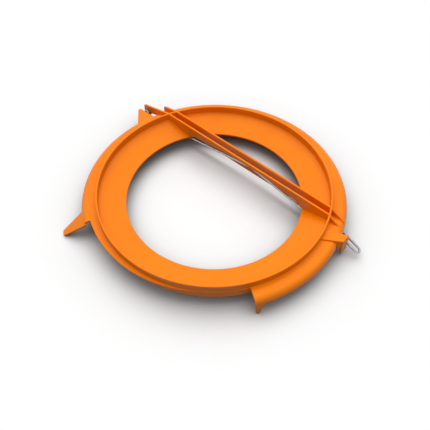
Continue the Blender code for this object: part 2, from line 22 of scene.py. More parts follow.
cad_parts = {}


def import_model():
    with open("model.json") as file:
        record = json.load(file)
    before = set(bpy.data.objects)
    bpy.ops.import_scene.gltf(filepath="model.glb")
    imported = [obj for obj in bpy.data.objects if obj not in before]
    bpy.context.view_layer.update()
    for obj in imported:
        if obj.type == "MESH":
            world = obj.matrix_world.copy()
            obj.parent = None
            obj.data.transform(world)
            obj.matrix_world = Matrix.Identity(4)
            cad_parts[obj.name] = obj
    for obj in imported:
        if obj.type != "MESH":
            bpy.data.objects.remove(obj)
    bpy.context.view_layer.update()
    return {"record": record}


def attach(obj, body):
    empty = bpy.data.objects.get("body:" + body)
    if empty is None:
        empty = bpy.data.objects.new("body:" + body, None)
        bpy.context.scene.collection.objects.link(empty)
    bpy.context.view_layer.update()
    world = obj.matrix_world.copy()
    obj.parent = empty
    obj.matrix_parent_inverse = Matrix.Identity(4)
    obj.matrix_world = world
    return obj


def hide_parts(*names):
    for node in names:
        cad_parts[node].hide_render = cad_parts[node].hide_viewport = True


log = logging.getLogger("guard_scene")

Array = np.ndarray
Pair = tuple[float, float]
Triple = tuple[float, float, float]
Colour = Triple
Socket = bpy.types.NodeSocket

X_AXIS = np.array((1.0, 0.0, 0.0))
Y_AXIS = np.array((0.0, 1.0, 0.0))
Z_AXIS = np.array((0.0, 0.0, 1.0))

# What turns a flat outline over its upright axis, and over its level one.
MIRROR_ACROSS = np.array((-1.0, 1.0))
MIRROR_DOWN = np.array((1.0, -1.0))

# Limits under which lengths, sines or tangents and turns count as nothing, and two points as one.
NO_LENGTH = 1e-12
NO_ANGLE = 1e-9
NO_TURN = 1e-6
SAME_POINT = 1e-7

# Range in which cloudy noise mostly stays.
CLOUD_RANGE: Pair = (0.3, 0.7)

# Angle past which an edge of a steel piece is shaded as sharp.
STEEL_SHARP = math.radians(50.0)


class Body(Enum):
    """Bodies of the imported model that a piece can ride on."""

    GUARD = "guard"
    WIRE = "wire"


class Join(Enum):
    """Ways in which one solid meets another."""

    FUSE = "UNION"
    CUT = "DIFFERENCE"


def unit(vectors: Array) -> Array:
    """Scale vectors along the last axis to length one, leaving zero vectors at zero.

    Args:
        vectors: Any array whose last axis holds the components.

    Returns:
        An array of the same shape.
    """
    length = np.linalg.norm(vectors, axis=-1, keepdims=True)
    return vectors / np.maximum(length, NO_LENGTH)


def polar(radius: float | Array, degrees: float | Array) -> Array:
    """Plan point at a radius and an angle from +X.

    Args:
        radius: Distance from the ring's axis.
        degrees: Angle from +X, anticlockwise.

    Returns:
        X and Y on the last axis.
    """
    angle = np.radians(degrees)
    return np.stack((radius * np.cos(angle), radius * np.sin(angle)), axis=-1)


def circle(radius: float, sides: int) -> Array:
    """Outline of even sides round the origin, with its corners at a radius."""
    return polar(radius, np.arange(sides) * 360.0 / sides)


def there_and_back(values: Array) -> Array:
    """The same values forwards and then backwards."""
    return np.concatenate((values, values[::-1]))


def half_chord(radius: float, offset: float) -> float:
    """Half the length of a circle's chord at an offset from its centre."""
    return math.sqrt(radius * radius - offset * offset)


def arc(centre: Pair, radius: float, start_deg: float, end_deg: float, steps: int = 8) -> Array:
    """Round stretch of a section: the centre plus a radius swept from one angle to another.

    Args:
        centre: Middle of the arc.
        radius: Radius of the arc.
        start_deg: Angle of the first point.
        end_deg: Angle of the last point.
        steps: Number of straight pieces.

    Returns:
        Points of shape (steps + 1, 2).
    """
    return np.asarray(centre) + polar(radius, np.linspace(start_deg, end_deg, steps + 1))


def rounded(corners: Sequence[Any], radii: Sequence[float], steps: int = 6) -> Array:
    """Line of straight runs whose corners give way to arcs tangent to both neighbours.

    The centre of each arc lies on the corner's bisector at radius over the sine of half the angle. The
    arc runs between its two tangent points by the spherical blend of the radii that end there.

    Args:
        corners: Points in two or three dimensions. An open line has radius zero at both ends.
        radii: Radius at each corner.
        steps: Number of straight pieces in each arc.

    Returns:
        Points in order, with repeated ones dropped.
    """
    corners = np.asarray(corners, dtype=float)
    radius = np.asarray(radii, dtype=float)[:, None]
    back = unit(np.roll(corners, 1, axis=0) - corners)
    onward = unit(np.roll(corners, -1, axis=0) - corners)
    cosine = np.clip(np.sum(back * onward, axis=1), -1.0, 1.0)
    half = 0.5 * np.arccos(cosine)[:, None]
    centre = corners + unit(back + onward) * radius / np.maximum(np.sin(half), NO_ANGLE)
    reach = radius / np.maximum(np.tan(half), NO_ANGLE)
    first = corners + back * reach - centre
    last = corners + onward * reach - centre
    sweep = np.maximum(math.pi - 2.0 * half, NO_TURN)
    share = np.linspace(0.0, 1.0, steps + 1)[None, :]
    first_weight = (np.sin((1.0 - share) * sweep) / np.sin(sweep))[..., None]
    last_weight = (np.sin(share * sweep) / np.sin(sweep))[..., None]
    points = centre[:, None] + first[:, None] * first_weight + last[:, None] * last_weight
    points = points.reshape(-1, corners.shape[1])
    moved = np.linalg.norm(points - np.roll(points, 1, axis=0), axis=1) > SAME_POINT
    return points[moved]


def inset(corners: Array, distances: Sequence[float]) -> Array:
    """Move each side of an anticlockwise outline inwards by its own distance.

    Args:
        corners: Corners of the outline.
        distances: Distance for the side that starts at each corner.

    Returns:
        Corners where the moved sides cross.
    """
    along = unit(np.roll(corners, -1, axis=0) - corners)
    inwards = np.stack((-along[:, 1], along[:, 0]), axis=1)
    start = corners + inwards * np.asarray(distances)[:, None]
    start_before = np.roll(start, 1, axis=0)
    along_before = np.roll(along, 1, axis=0)
    offset = start - start_before
    turn = along_before[:, 0] * along[:, 1] - along_before[:, 1] * along[:, 0]
    reach = (offset[:, 0] * along[:, 1] - offset[:, 1] * along[:, 0]) / turn
    return start_before + along_before * reach[:, None]


def edge_normals(outline: Array) -> Array:
    """Outward mitre at each point of an anticlockwise outline, long enough to shift both sides by one.

    It is the sum of the two sides' outward normals, over one plus the cosine between them.

    Args:
        outline: Points of the outline.

    Returns:
        One mitre for each point.
    """
    along = unit(np.roll(outline, -1, axis=0) - outline)
    normal = np.stack((along[:, 1], -along[:, 0]), axis=1)
    before = np.roll(normal, 1, axis=0)
    return (normal + before) / (1.0 + np.sum(normal * before, axis=1, keepdims=True))


def anticlockwise(outline: Array) -> Array:
    """Walk an outline with its inside on the left, where its signed area is positive.

    Args:
        outline: Points of a closed outline.

    Returns:
        The same points, in this order or in reverse.
    """
    after = np.roll(outline, -1, axis=0)
    area = np.sum(outline[:, 0] * after[:, 1] - after[:, 0] * outline[:, 1])
    return outline if area > 0 else outline[::-1]


def lattice(rows: int, columns: int, close_rows: bool, close_columns: bool) -> Array:
    """Four-sided faces of a grid of points numbered row by row.

    Args:
        rows: Number of rows.
        columns: Number of points in a row.
        close_rows: Join the last row to the first.
        close_columns: Join the last point of each row to its first.

    Returns:
        Point numbers of shape (faces, 4).
    """
    row = np.arange(rows if close_rows else rows - 1)[:, None]
    column = np.arange(columns if close_columns else columns - 1)[None, :]
    next_row = (row + 1) % rows
    next_column = (column + 1) % columns
    corners = (
        row * columns + column,
        next_row * columns + column,
        next_row * columns + next_column,
        row * columns + next_column,
    )
    return np.stack(np.broadcast_arrays(*corners), axis=-1).reshape(-1, 4)


@dataclass
class Surface:
    """A closed surface: its points, its four-sided faces and its flat end faces."""

    points: Array
    quads: Array
    caps: list[Array] = field(default_factory=list)
    uv: Array | None = None

    def volume(self) -> float:
        """Signed volume: the sum of the pyramids from the origin to each triangle.

        Returns:
            The volume, positive where the faces point outwards.
        """
        fans = [self.quads[:, (0, 1, 2)], self.quads[:, (0, 2, 3)]]
        for cap in self.caps:
            fans.append(np.stack((np.full(len(cap) - 2, cap[0]), cap[1:-1], cap[2:]), axis=1))
        corners = self.points[np.concatenate(fans)]
        return float(np.sum(corners[:, 0] * np.cross(corners[:, 1], corners[:, 2])) / 6.0)

    def outward(self) -> Surface:
        """Turn the faces outwards, so that the signed volume is positive.

        Returns:
            This surface.
        """
        if self.volume() < 0:
            self.quads = self.quads[:, ::-1]
            self.caps = [cap[::-1] for cap in self.caps]
        return self

    def mesh(self, name: str, level: LevelFrame) -> bpy.types.Mesh:
        """Put the surface into a mesh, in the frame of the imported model.

        Args:
            name: Name of the mesh.
            level: Turn and shift from the guard's own frame.

        Returns:
            The mesh, smooth all over, with a UV map if the surface has one.
        """
        self.outward()
        faces = self.quads.tolist() + [cap.tolist() for cap in self.caps]
        mesh = bpy.data.meshes.new(name)
        mesh.from_pydata(level.place(self.points).tolist(), [], faces)
        if self.uv is not None:
            corner = np.empty(len(mesh.loops), dtype=np.int32)
            mesh.loops.foreach_get("vertex_index", corner)
            layer = mesh.uv_layers.new(name="along_and_round")
            layer.uv.foreach_set("vector", self.uv[corner].astype(np.float32).ravel())
        mesh.shade_smooth()
        return mesh


def tube(points: Array, uv: Array | None = None) -> Surface:
    """Rows of points that each go once round, joined into a tube with a flat face at either end.

    Args:
        points: Points of shape (rows, columns, 3).
        uv: Map values of the points, row by row.

    Returns:
        A closed surface.
    """
    rows, columns = points.shape[:2]
    first = np.arange(columns)
    caps = [first, (first + (rows - 1) * columns)[::-1]]
    return Surface(points.reshape(-1, 3), lattice(rows, columns, False, True), caps, uv)


@dataclass(frozen=True)
class Place:
    """Where a flat outline lies: the origin of its plane and its two axes. Thickness goes across them."""

    origin: Array
    u: Array
    v: Array

    def carry(self, flat: Array, rise: Array) -> Array:
        """Points of the plane, lifted off it.

        Args:
            flat: Plane coordinates on the last axis.
            rise: Distance from the plane, one for each point.

        Returns:
            Points in the guard's own frame.
        """
        across = np.cross(self.u, self.v)
        return self.origin + flat[..., :1] * self.u + flat[..., 1:] * self.v + rise[..., None] * across


def round_over(edge: float, steps: int = 3) -> tuple[Array, Array]:
    """Quarter-round of an edge: how far each step is set in from the side, and down from the face.

    Args:
        edge: Radius of the edge.
        steps: Number of straight pieces.

    Returns:
        Set-in from the side and drop from the face, starting on the face.
    """
    angle = np.linspace(0.0, math.pi / 2, steps + 1)
    return edge * (1.0 - np.sin(angle)), edge * (1.0 - np.cos(angle))


def slab(outline: Array, thickness: float, edge: float, place: Place) -> Surface:
    """Flat outline with a thickness, its edges rounded on both faces.

    The section of the edge, a quarter-round, a straight side and a quarter-round, is carried round the
    outline along its mitres.

    Args:
        outline: Closed outline in the plane.
        thickness: Distance between the faces.
        edge: Radius of the rounded edges.
        place: Plane of the middle of the slab.

    Returns:
        A closed surface.
    """
    outline = anticlockwise(outline)
    set_in, drop = round_over(edge)
    set_in = there_and_back(set_in)
    rise = np.concatenate((thickness / 2 - drop, drop[::-1] - thickness / 2))
    flat = outline[None] - edge_normals(outline)[None] * set_in[:, None, None]
    points = place.carry(flat, np.broadcast_to(rise[:, None], flat.shape[:2]))
    return tube(points)


@dataclass(frozen=True)
class LevelFrame:
    """Turn and shift from the guard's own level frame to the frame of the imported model."""

    turn: Array
    shift: Array

    @classmethod
    def from_record(cls, record: dict[str, Any], pin: Array) -> LevelFrame:
        """Read the lean of the settled guard from the hinge's axis and the face of the blade's seat.

        Args:
            record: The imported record.
            pin: Middle of the hinge in the guard's own frame.

        Returns:
            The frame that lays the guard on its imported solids.
        """
        joint = record["behaviour"]["joints"][0]
        y_axis = unit(np.array(joint["axis"], dtype=float))
        down = unit(np.array(record["mounts"][0]["axis"], dtype=float))
        x_axis = unit(np.cross(y_axis, -down))
        turn = np.stack((x_axis, y_axis, np.cross(x_axis, y_axis)), axis=1)
        return cls(turn, np.array(joint["pos_m"], dtype=float) - turn @ pin)

    def place(self, points: Array) -> Array:
        """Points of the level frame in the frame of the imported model."""
        return points @ self.turn.T + self.shift

    def matrix(self) -> Matrix:
        """The same turn and shift as one matrix.

        Returns:
            The matrix.
        """
        whole = np.eye(4)
        whole[:3, :3] = self.turn
        whole[:3, 3] = self.shift
        return Matrix(whole.tolist())


@dataclass(frozen=True)
class RingSizes:
    """Sizes that several pieces of the guard share."""

    flange_radius: float = 0.125
    flange_reach: float = 0.0145
    wall_thick: float = 0.002
    wall_height: float = 0.016
    plate_width: float = 0.0272
    plate_edge_depth: float = 0.0143
    sheet: float = 0.002
    flange_drop: float = 0.0075
    roll_radius: float = 0.0065
    skirt_below_roll: float = 0.0009
    near_rib_y: float = 0.0429
    rib_spacing: float = 0.0078
    rib_thick: float = 0.002
    pin_radius: float = 0.0015
    pin_beyond_flange: float = 0.006
    ear_gap: float = 0.0065
    catch_to_bar: float = 0.0038
    wire_radius: float = 0.0011
    gap: float = 0.0003
    bite: float = 0.001

    @property
    def wall_radius(self) -> float:
        """Outer face of the upright wall."""
        return self.flange_radius - self.flange_reach

    @property
    def wall_inner(self) -> float:
        """Inner face of the upright wall."""
        return self.wall_radius - self.wall_thick

    @property
    def wall_mid(self) -> float:
        """Middle of the upright wall."""
        return self.wall_radius - self.wall_thick / 2

    @property
    def hole_radius(self) -> float:
        """Edge of the plate round the main hole."""
        return self.wall_radius - self.plate_width

    @property
    def underside(self) -> float:
        """Height of the wall's lower edge."""
        return -self.wall_height

    @property
    def ear_web_z(self) -> float:
        """Height at which the webs of the hinge ears meet the pin's boss."""
        return self.underside + self.sheet / 2

    def plate_middle(self, radius: Array) -> Array:
        """Height of the middle of the dished plate, which slopes down from the wall to the hole."""
        share = np.clip((self.wall_inner - radius) / (self.wall_inner - self.hole_radius), 0.0, 1.0)
        return -self.flange_drop - self.sheet / 2 - share * (self.plate_edge_depth - self.flange_drop)

    @property
    def skirt_depth(self) -> float:
        """Depth of the flange's lower edge."""
        return self.flange_drop + self.roll_radius + self.skirt_below_roll

    @property
    def roll_centre(self) -> Pair:
        """Middle of the flange's roll, as radius and height."""
        return self.flange_radius - self.roll_radius, -self.flange_drop - self.roll_radius

    @property
    def far_rib_y(self) -> float:
        """Middle of the far rib."""
        return self.near_rib_y + self.rib_spacing

    @property
    def wire_run_z(self) -> float:
        """Height of the wire where it leaves the coil, just under the wall."""
        return self.underside - self.gap - self.wire_radius

    @property
    def entry_z(self) -> float:
        """Height of the wire where it passes under the hole's edge."""
        return min(self.wire_run_z, -self.plate_edge_depth - self.sheet - self.wire_radius) - self.gap

    @property
    def eye_radius(self) -> float:
        """Radius of the coil's centre line round the pin."""
        return self.pin_radius + self.gap + self.wire_radius

    @property
    def outer_ear_y(self) -> float:
        """Middle of the clevis ear on the near side."""
        return self.near_rib_y - self.rib_thick / 2 - self.ear_gap - self.sheet / 2

    @property
    def pin_x(self) -> float:
        """Middle of the hinge along the bar."""
        return -self.flange_radius - self.pin_beyond_flange

    @property
    def pin(self) -> Array:
        """Middle of the hinge, halfway between the ears."""
        slot_y = self.near_rib_y - self.rib_thick / 2 - self.ear_gap / 2
        return np.array((self.pin_x, slot_y, self.wire_run_z + self.eye_radius))

    @property
    def catch_far_y(self) -> float:
        """Side of the catch's plate that faces the bar."""
        return self.near_rib_y - self.catch_to_bar


@dataclass(frozen=True)
class RoundedSection:
    """Section of the rolled flange, and how much of it follows the foot downwards."""

    outline: Array
    follows_foot: Array


@dataclass
class GuardMoulding:
    """The one-piece orange moulding: ring, cut-out, bar, hinge ears, catch and feet."""

    sizes: RingSizes
    ring_steps: int = 360
    fillet_steps: int = 5
    lip_steps: int = 4
    roll_steps: int = 12
    under_roll_steps: int = 10
    wall_edge: float = 0.0007
    plate_edge: float = 0.0006
    plate_corner: float = 0.0012
    root_fillet: float = 0.0010
    root_sink: float = 0.00006
    skirt_edge: float = 0.0007
    slab_edge: float = 0.00045
    cut_start_deg: float = -121.0
    cut_end_deg: float = -32.5
    strip_end_deg: float = -56.0
    strip_width: float = 0.0071
    strip_left_over: float = 0.0004
    strip_shy: float = 0.00004
    strip_lap_deg: Pair = (1.0, 0.6)
    strip_steps: int = 90
    rib_top_depth: float = 0.0002
    rib_roll_steps: int = 6
    rib_plate_points: int = 6
    rib_arch_steps: int = 8
    near_arch_x: float = 0.006
    near_arch_half: float = 0.015
    near_arch_depth: float = 0.0038
    near_arch_round: float = 0.05
    near_flank_x: float = 0.064
    near_flank_depth: float = 0.0098
    near_flank_round: float = 0.015
    far_rib_depth: float = 0.0196
    far_rib_rise_run: float = 0.008
    far_rib_round: float = 0.02
    near_ramp_set_in: float = 0.003
    far_ramp_set_in: float = 0.001
    ramp_round: float = 0.004
    near_ramp_end: float = 0.0095
    far_ramp_end: float = 0.0085
    far_tail_overhang: float = 0.0014
    far_tail_depth: float = 0.0034
    corner_round: float = 0.002
    roll_end_deg: float = 12.0
    inner_ear_margin: float = 0.0072
    inner_ear_top: float = 0.0084
    outer_ear_margin: float = 0.0063
    outer_ear_top: float = 0.009
    ear_boss: float = 0.0038
    lug_top: float = 0.0088
    lug_root_deg: float = 171.3
    lug_tip_width: float = 0.001
    catch_top: float = 0.006
    catch_reach: float = 0.0005
    catch_width: float = 0.0098
    catch_depth: float = 0.0246
    catch_corner: float = 0.001
    catch_lip: float = 0.0003
    catch_far_deg: float = 16.5
    catch_near_deg: float = 10.0
    foot_depth: float = 0.0285
    left_foot_deg: float = -124.3
    left_foot_base: float = 0.0172
    left_foot_tip: float = 0.0062
    left_foot_skew: float = -0.0004
    left_foot_reach: float = 0.0194
    left_foot_depth: float = 0.0122
    left_foot_round: float = 0.0012
    left_foot_root_round: float = 0.00054
    foot_overlap: float = 0.0024
    right_foot_deg: float = -30.0
    right_foot_base: float = 0.0096
    right_foot_tip: float = 0.0024
    right_foot_set_in: float = 0.0014
    right_foot_rows: tuple[int, int, int] = (5, 4, 19)
    pin_hole_sides: int = 48
    smooth_angle_deg: float = 38.0
    shading_weight: int = 100

    def turned(self, section: Array, degrees: Array) -> Array:
        """Carry a section of radius and height round the ring's axis.

        Args:
            section: Radius and height, of shape (points, 2) or (angles, points, 2).
            degrees: Angles of the rows.

        Returns:
            Points of shape (angles, points, 3).
        """
        section = np.broadcast_to(section, (len(degrees), *section.shape[-2:]))
        plan = polar(section[..., 0], degrees[:, None])
        return np.concatenate((plan, section[..., 1:]), axis=-1)

    def wall_and_plate(self) -> Surface:
        """Upright wall and dished plate: one section with rounded edges, turned full circle.

        Returns:
            A closed surface.
        """
        s = self.sizes
        inner = s.wall_inner
        high = -s.flange_drop
        edge_z = -s.plate_edge_depth
        corners = [(s.wall_radius, 0), (inner, 0), (inner, high), (s.hole_radius, edge_z)]
        corners += [(s.hole_radius, edge_z - s.sheet), (inner, high - s.sheet)]
        corners += [(inner, s.underside), (s.wall_radius, s.underside)]
        rounds = np.array((self.wall_edge, self.wall_edge, self.plate_corner, self.plate_edge))
        section = rounded(corners, there_and_back(rounds))
        degrees = (np.arange(self.ring_steps) + 0.5) * 360.0 / self.ring_steps
        points = self.turned(section, degrees)
        return Surface(points.reshape(-1, 3), lattice(len(degrees), len(section), True, True))

    def flange_section(self) -> RoundedSection:
        """Section of the flange: out from the wall, over the roll, round the skirt's edge and back.

        Returns:
            The section, of which only the lip follows the foot.
        """
        s = self.sizes
        fillet = self.root_fillet
        root = s.wall_radius - self.root_sink
        sunk = s.wall_radius - s.bite
        high = -s.flange_drop
        low = high - s.sheet
        outer = s.flange_radius
        inner = outer - s.sheet
        edge = self.skirt_edge
        bottom = -s.skirt_depth
        down = arc((root + fillet, high + fillet), fillet, 180, 270, self.fillet_steps)
        over = arc(s.roll_centre, s.roll_radius, 90, 0, self.roll_steps)
        nose = arc((outer - edge, bottom + edge), edge, 0, -90, self.lip_steps)
        heel = arc((inner + edge, bottom + edge), edge, -90, -180, self.lip_steps)
        under = arc(s.roll_centre, s.roll_radius - s.sheet, 0, 90, self.under_roll_steps)
        away = arc((root + fillet, low - fillet), fillet, 90, 180, self.fillet_steps)
        top_run = np.concatenate(([(sunk, high + fillet)], down, over))
        lip = np.concatenate((nose, heel))
        back_run = np.concatenate((under, away, [(sunk, low - fillet)]))
        stretches = (top_run, lip, back_run)
        follows = np.repeat((0.0, 1.0, 0.0), [len(part) for part in stretches])
        return RoundedSection(np.concatenate(stretches)[::-1], follows[::-1])

    def foot_edges(self) -> Triple:
        """Edges of the right foot, as distances round the rim from the middle of its base.

        Returns:
            Half the base, and the start and the end of the level tip.
        """
        half = self.right_foot_base / 2
        tip_start = -half + self.right_foot_set_in
        return half, tip_start, tip_start + self.right_foot_tip

    def foot_drop(self, along: Array) -> Array:
        """How far the skirt is drawn down into the right foot.

        Straight down beside the cut-out, level at the tip, and back up along a parabola on its side.

        Args:
            along: Distance round the rim from the middle of the foot's base.

        Returns:
            Extra depth at each distance.
        """
        half, _, tip_end = self.foot_edges()
        rise = np.clip((along + half) / self.right_foot_set_in, 0.0, 1.0)
        fall = 1.0 - np.sqrt(np.clip((along - tip_end) / (half - tip_end), 0.0, 1.0))
        return (self.foot_depth - self.sizes.skirt_depth) * np.minimum(rise, fall)

    def flange(self) -> Surface:
        """Rolled flange from the cut-out's right end round to its left, drawn down into the right foot.

        The section is carried round the axis. At both ends it is set in along its mitres, and the points
        of its lip go down with the foot.

        Returns:
            A closed surface.
        """
        s = self.sizes
        section = self.flange_section()
        per_metre = math.degrees(1.0 / (s.flange_radius - s.sheet / 2))
        half, tip_start, tip_end = self.foot_edges()
        upright_rows, level_rows, hollow_rows = self.right_foot_rows
        upright = np.linspace(-half, tip_start, upright_rows)
        level = np.linspace(tip_start, tip_end, level_rows)[1:-1]
        hollow = tip_end + (half - tip_end) * np.linspace(0.0, 1.0, hollow_rows) ** 2
        foot = self.right_foot_deg + np.concatenate((upright, level, hollow)) * per_metre
        end = self.cut_start_deg + 360.0
        set_in, advance = round_over(self.slab_edge)
        lead = self.cut_end_deg + advance * per_metre
        whole = np.arange(math.ceil(foot[-1]) + 1, math.floor(end))
        degrees = np.concatenate((lead, foot, whole, end - advance[::-1] * per_metre))
        inwards = np.concatenate((set_in, np.zeros(len(foot) + len(whole)), set_in[::-1]))
        drop = self.foot_drop((degrees - self.right_foot_deg) / per_metre)
        mitre = edge_normals(section.outline)
        outline = section.outline[None] - mitre[None] * inwards[:, None, None]
        outline[..., 1] -= drop[:, None] * section.follows_foot[None]
        return tube(self.turned(outline, degrees))

    def strip(self) -> Surface:
        """Narrow strip that is left of the flange along the cut-out and tapers away.

        Each point of the section is the wall's radius plus a share of the strip's width plus a share of
        the rounding, and the rounding shrinks with the width.

        Returns:
            A closed surface.
        """
        s = self.sizes
        fillet = self.root_fillet
        edge = self.skirt_edge
        high = -s.flange_drop - self.strip_shy
        low = -s.flange_drop - s.sheet + self.strip_shy
        fillet_top = arc((fillet, fillet), fillet, 180, 270, self.fillet_steps)
        nose_top = arc((-edge, -edge), edge, 90, 0, self.lip_steps)
        nose_low = nose_top[::-1] * MIRROR_DOWN
        fillet_low = fillet_top[::-1] * MIRROR_DOWN
        rounding = np.concatenate((fillet_top, nose_top, nose_low, fillet_low))
        counts = (len(fillet_top), len(nose_top), len(nose_low), len(fillet_low))
        on_width = np.repeat((0.0, 1.0, 1.0, 0.0), counts)
        height = np.repeat((high, high, low, low), counts)
        before, after = self.strip_lap_deg
        degrees = np.linspace(self.cut_start_deg - before, self.cut_end_deg + after, self.strip_steps)
        taper = self.strip_end_deg - self.cut_start_deg
        left = np.clip((self.strip_end_deg - degrees) / taper, 0.0, 1.0)
        width = self.strip_left_over + self.strip_width * left
        share = np.minimum(1.0, width / (2.0 * (fillet + edge)))
        reach = on_width * width[:, None] + rounding[:, 0] * share[:, None]
        root = s.wall_radius - self.root_sink - self.strip_shy
        section = np.stack((root + reach, height + rounding[:, 1] * share[:, None]), axis=-1)
        roots = section[:, (-1, 0)] - (s.bite, 0.0)
        section = np.concatenate((section, roots), axis=1)
        return tube(self.turned(section, degrees))

    def upright(self, outline: Array, y: float, thickness: float) -> Surface:
        """Slab standing along the bar: its outline is in X and Z."""
        return slab(outline, thickness, self.slab_edge, Place(Y_AXIS * y, X_AXIS, Z_AXIS))

    def over_plate(self, offset: float) -> Array:
        """Lower edge of a rib's +X end inside the wall, within the dished plate.

        Args:
            offset: Middle of the rib.

        Returns:
            X and Z of the hidden edge, from the wall in to the hole.
        """
        s = self.sizes
        hole_x = half_chord(s.hole_radius, offset - s.rib_thick / 2) + s.bite
        x = np.linspace(half_chord(s.wall_inner, offset), hole_x, self.rib_plate_points)
        return np.stack((x, s.plate_middle(np.hypot(x, offset))), axis=1)

    def rib_foot(self, offset: float) -> Array:
        """Lower edge of a rib's +X end: in over the flange, through the wall and along the plate.

        Args:
            offset: Middle of the rib.

        Returns:
            X and Z of the hidden edge, from the flange's roll inwards.
        """
        s = self.sizes
        roll = arc(s.roll_centre, s.roll_radius - s.sheet / 2, self.roll_end_deg, 90, self.rib_roll_steps)
        over = np.stack((np.sqrt(roll[:, 0] ** 2 - offset**2), roll[:, 1]), axis=1)
        return np.concatenate((over, self.over_plate(offset)))

    def ear_end(self, margin: float, top: float) -> Array:
        """Outer end of a clevis ear: round the pin's boss, along the bottom and up to the top.

        Args:
            margin: How far the ear goes out past the pin.
            top: Depth of the ear's top.

        Returns:
            X and Z of the end, from the web's lower edge on.
        """
        s = self.sizes
        pin_x, _, pin_z = s.pin
        tip_x = pin_x - margin + self.corner_round
        low = pin_z - self.ear_boss
        start = math.degrees(math.asin((s.ear_web_z - pin_z) / self.ear_boss))
        boss = arc((pin_x, pin_z), self.ear_boss, start, -90)
        toe = arc((tip_x, low + self.corner_round), self.corner_round, -90, -180)
        heel = arc((tip_x, -top - self.corner_round), self.corner_round, 180, 90)
        return np.concatenate((boss, toe, heel))

    def rib_head(self, offset: float, tip: Array, set_in: float, ramp_end: float) -> Array:
        """Upper edge of a rib: level from the wall at the hinge, then ramped down on the flange.

        Args:
            offset: Middle of the rib.
            tip: X and Z of the lowest point at the +X end.
            set_in: How far inside the wall's outer face the ramp starts.
            ramp_end: Depth at which the ramp ends.

        Returns:
            X and Z of the edge, from the hinge to the tip.
        """
        top = -self.rib_top_depth
        wall_x = half_chord(self.sizes.wall_mid, offset)
        ramp_x = half_chord(self.sizes.wall_radius, offset) - set_in
        corners = [(-wall_x, top), (ramp_x, top), (tip[0], -ramp_end), tip]
        return rounded(corners, (0.0, self.ramp_round, self.slab_edge, 0.0))

    def near_rib(self) -> Surface:
        """Near rib: arched over the hole, ramped at the catch, an ear at the hinge.

        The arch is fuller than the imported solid's, because the photograph shows the wire below it.

        Returns:
            A closed surface.
        """
        s = self.sizes
        foot = self.rib_foot(s.near_rib_y)
        head = self.rib_head(s.near_rib_y, foot[0], self.near_ramp_set_in, self.near_ramp_end)
        left = self.over_plate(s.near_rib_y)[::-1] * MIRROR_ACROSS
        flank = np.array((self.near_flank_x, -self.near_flank_depth))
        crown = np.array((self.near_arch_half, -self.near_arch_depth))
        middle = X_AXIS[:2] * self.near_arch_x
        corners = [foot[-1], flank, middle + crown]
        corners += [middle + crown * MIRROR_ACROSS, flank * MIRROR_ACROSS, left[0]]
        rounds = np.array((0.0, self.near_flank_round, self.near_arch_round))
        arch = rounded(corners, there_and_back(rounds), self.rib_arch_steps)
        ear = self.ear_end(self.inner_ear_margin, self.inner_ear_top)
        outline = np.concatenate((head, foot[1:-1], arch, left[1:], ear))
        return self.upright(outline, s.near_rib_y, s.rib_thick)

    def far_rib(self) -> Surface:
        """Far rib: deeper over the hole, ramped at the catch, square at the hinge end.

        Returns:
            A closed surface.
        """
        s = self.sizes
        foot = self.rib_foot(s.far_rib_y)
        head = self.rib_head(s.far_rib_y, foot[0], self.far_ramp_set_in, self.far_ramp_end)
        deep_x = half_chord(s.hole_radius, s.far_rib_y) - self.far_rib_rise_run
        tail_x = -half_chord(s.flange_radius, s.far_rib_y) - self.far_tail_overhang
        left = foot[::-1] * MIRROR_ACROSS
        corners = [foot[-1], (deep_x, -self.far_rib_depth), (-deep_x, -self.far_rib_depth), left[0]]
        rounds = (0.0, self.far_rib_round, self.far_rib_round, 0.0)
        belly = rounded(corners, rounds, self.rib_arch_steps)
        corner = (tail_x + self.corner_round, -self.far_tail_depth - self.corner_round)
        tail = np.concatenate(([(tail_x, foot[0, 1])], arc(corner, self.corner_round, 180, 90)))
        outline = np.concatenate((head, foot[1:-1], belly, left[1:], tail))
        return self.upright(outline, s.far_rib_y, s.rib_thick)

    def outer_ear(self) -> Surface:
        """Clevis ear on the near side, from the ring's wall out past the pin.

        Returns:
            A closed surface.
        """
        s = self.sizes
        wall_x = -half_chord(s.wall_mid, s.outer_ear_y)
        root = [(wall_x, -self.outer_ear_top), (wall_x, s.ear_web_z)]
        outline = np.concatenate((root, self.ear_end(self.outer_ear_margin, self.outer_ear_top)))
        return self.upright(outline, s.outer_ear_y, s.sheet)

    def block(self, corners: Array, low: float, high: float, corner: float) -> Surface:
        """Block lying flat: its outline is in X and Y.

        Args:
            corners: Corners of the block.
            low: Height of its lower face.
            high: Height of its upper face.
            corner: Radius of its upright corners, or 0 to leave them sharp.

        Returns:
            A closed surface.
        """
        outline = rounded(corners, np.full(len(corners), corner)) if corner else corners
        middle = Place(Z_AXIS * (low + high) / 2, X_AXIS, Y_AXIS)
        return slab(outline, high - low, self.slab_edge, middle)

    def hollow_block(self, corners: Array, walls: Sequence[float], top: float) -> tuple[Surface, Surface]:
        """Block moulded as a shell, open underneath.

        Args:
            corners: Corners of the block, anticlockwise.
            walls: Thickness of the wall along each side.
            top: Height of the roof.

        Returns:
            The full block, and the hollow to cut from it.
        """
        s = self.sizes
        low = -s.skirt_depth + s.bite / 2
        full = self.block(corners, low, top, self.catch_corner)
        hollow = self.block(inset(corners, walls), s.underside - s.sheet, top - s.sheet, 0.0)
        return full, hollow

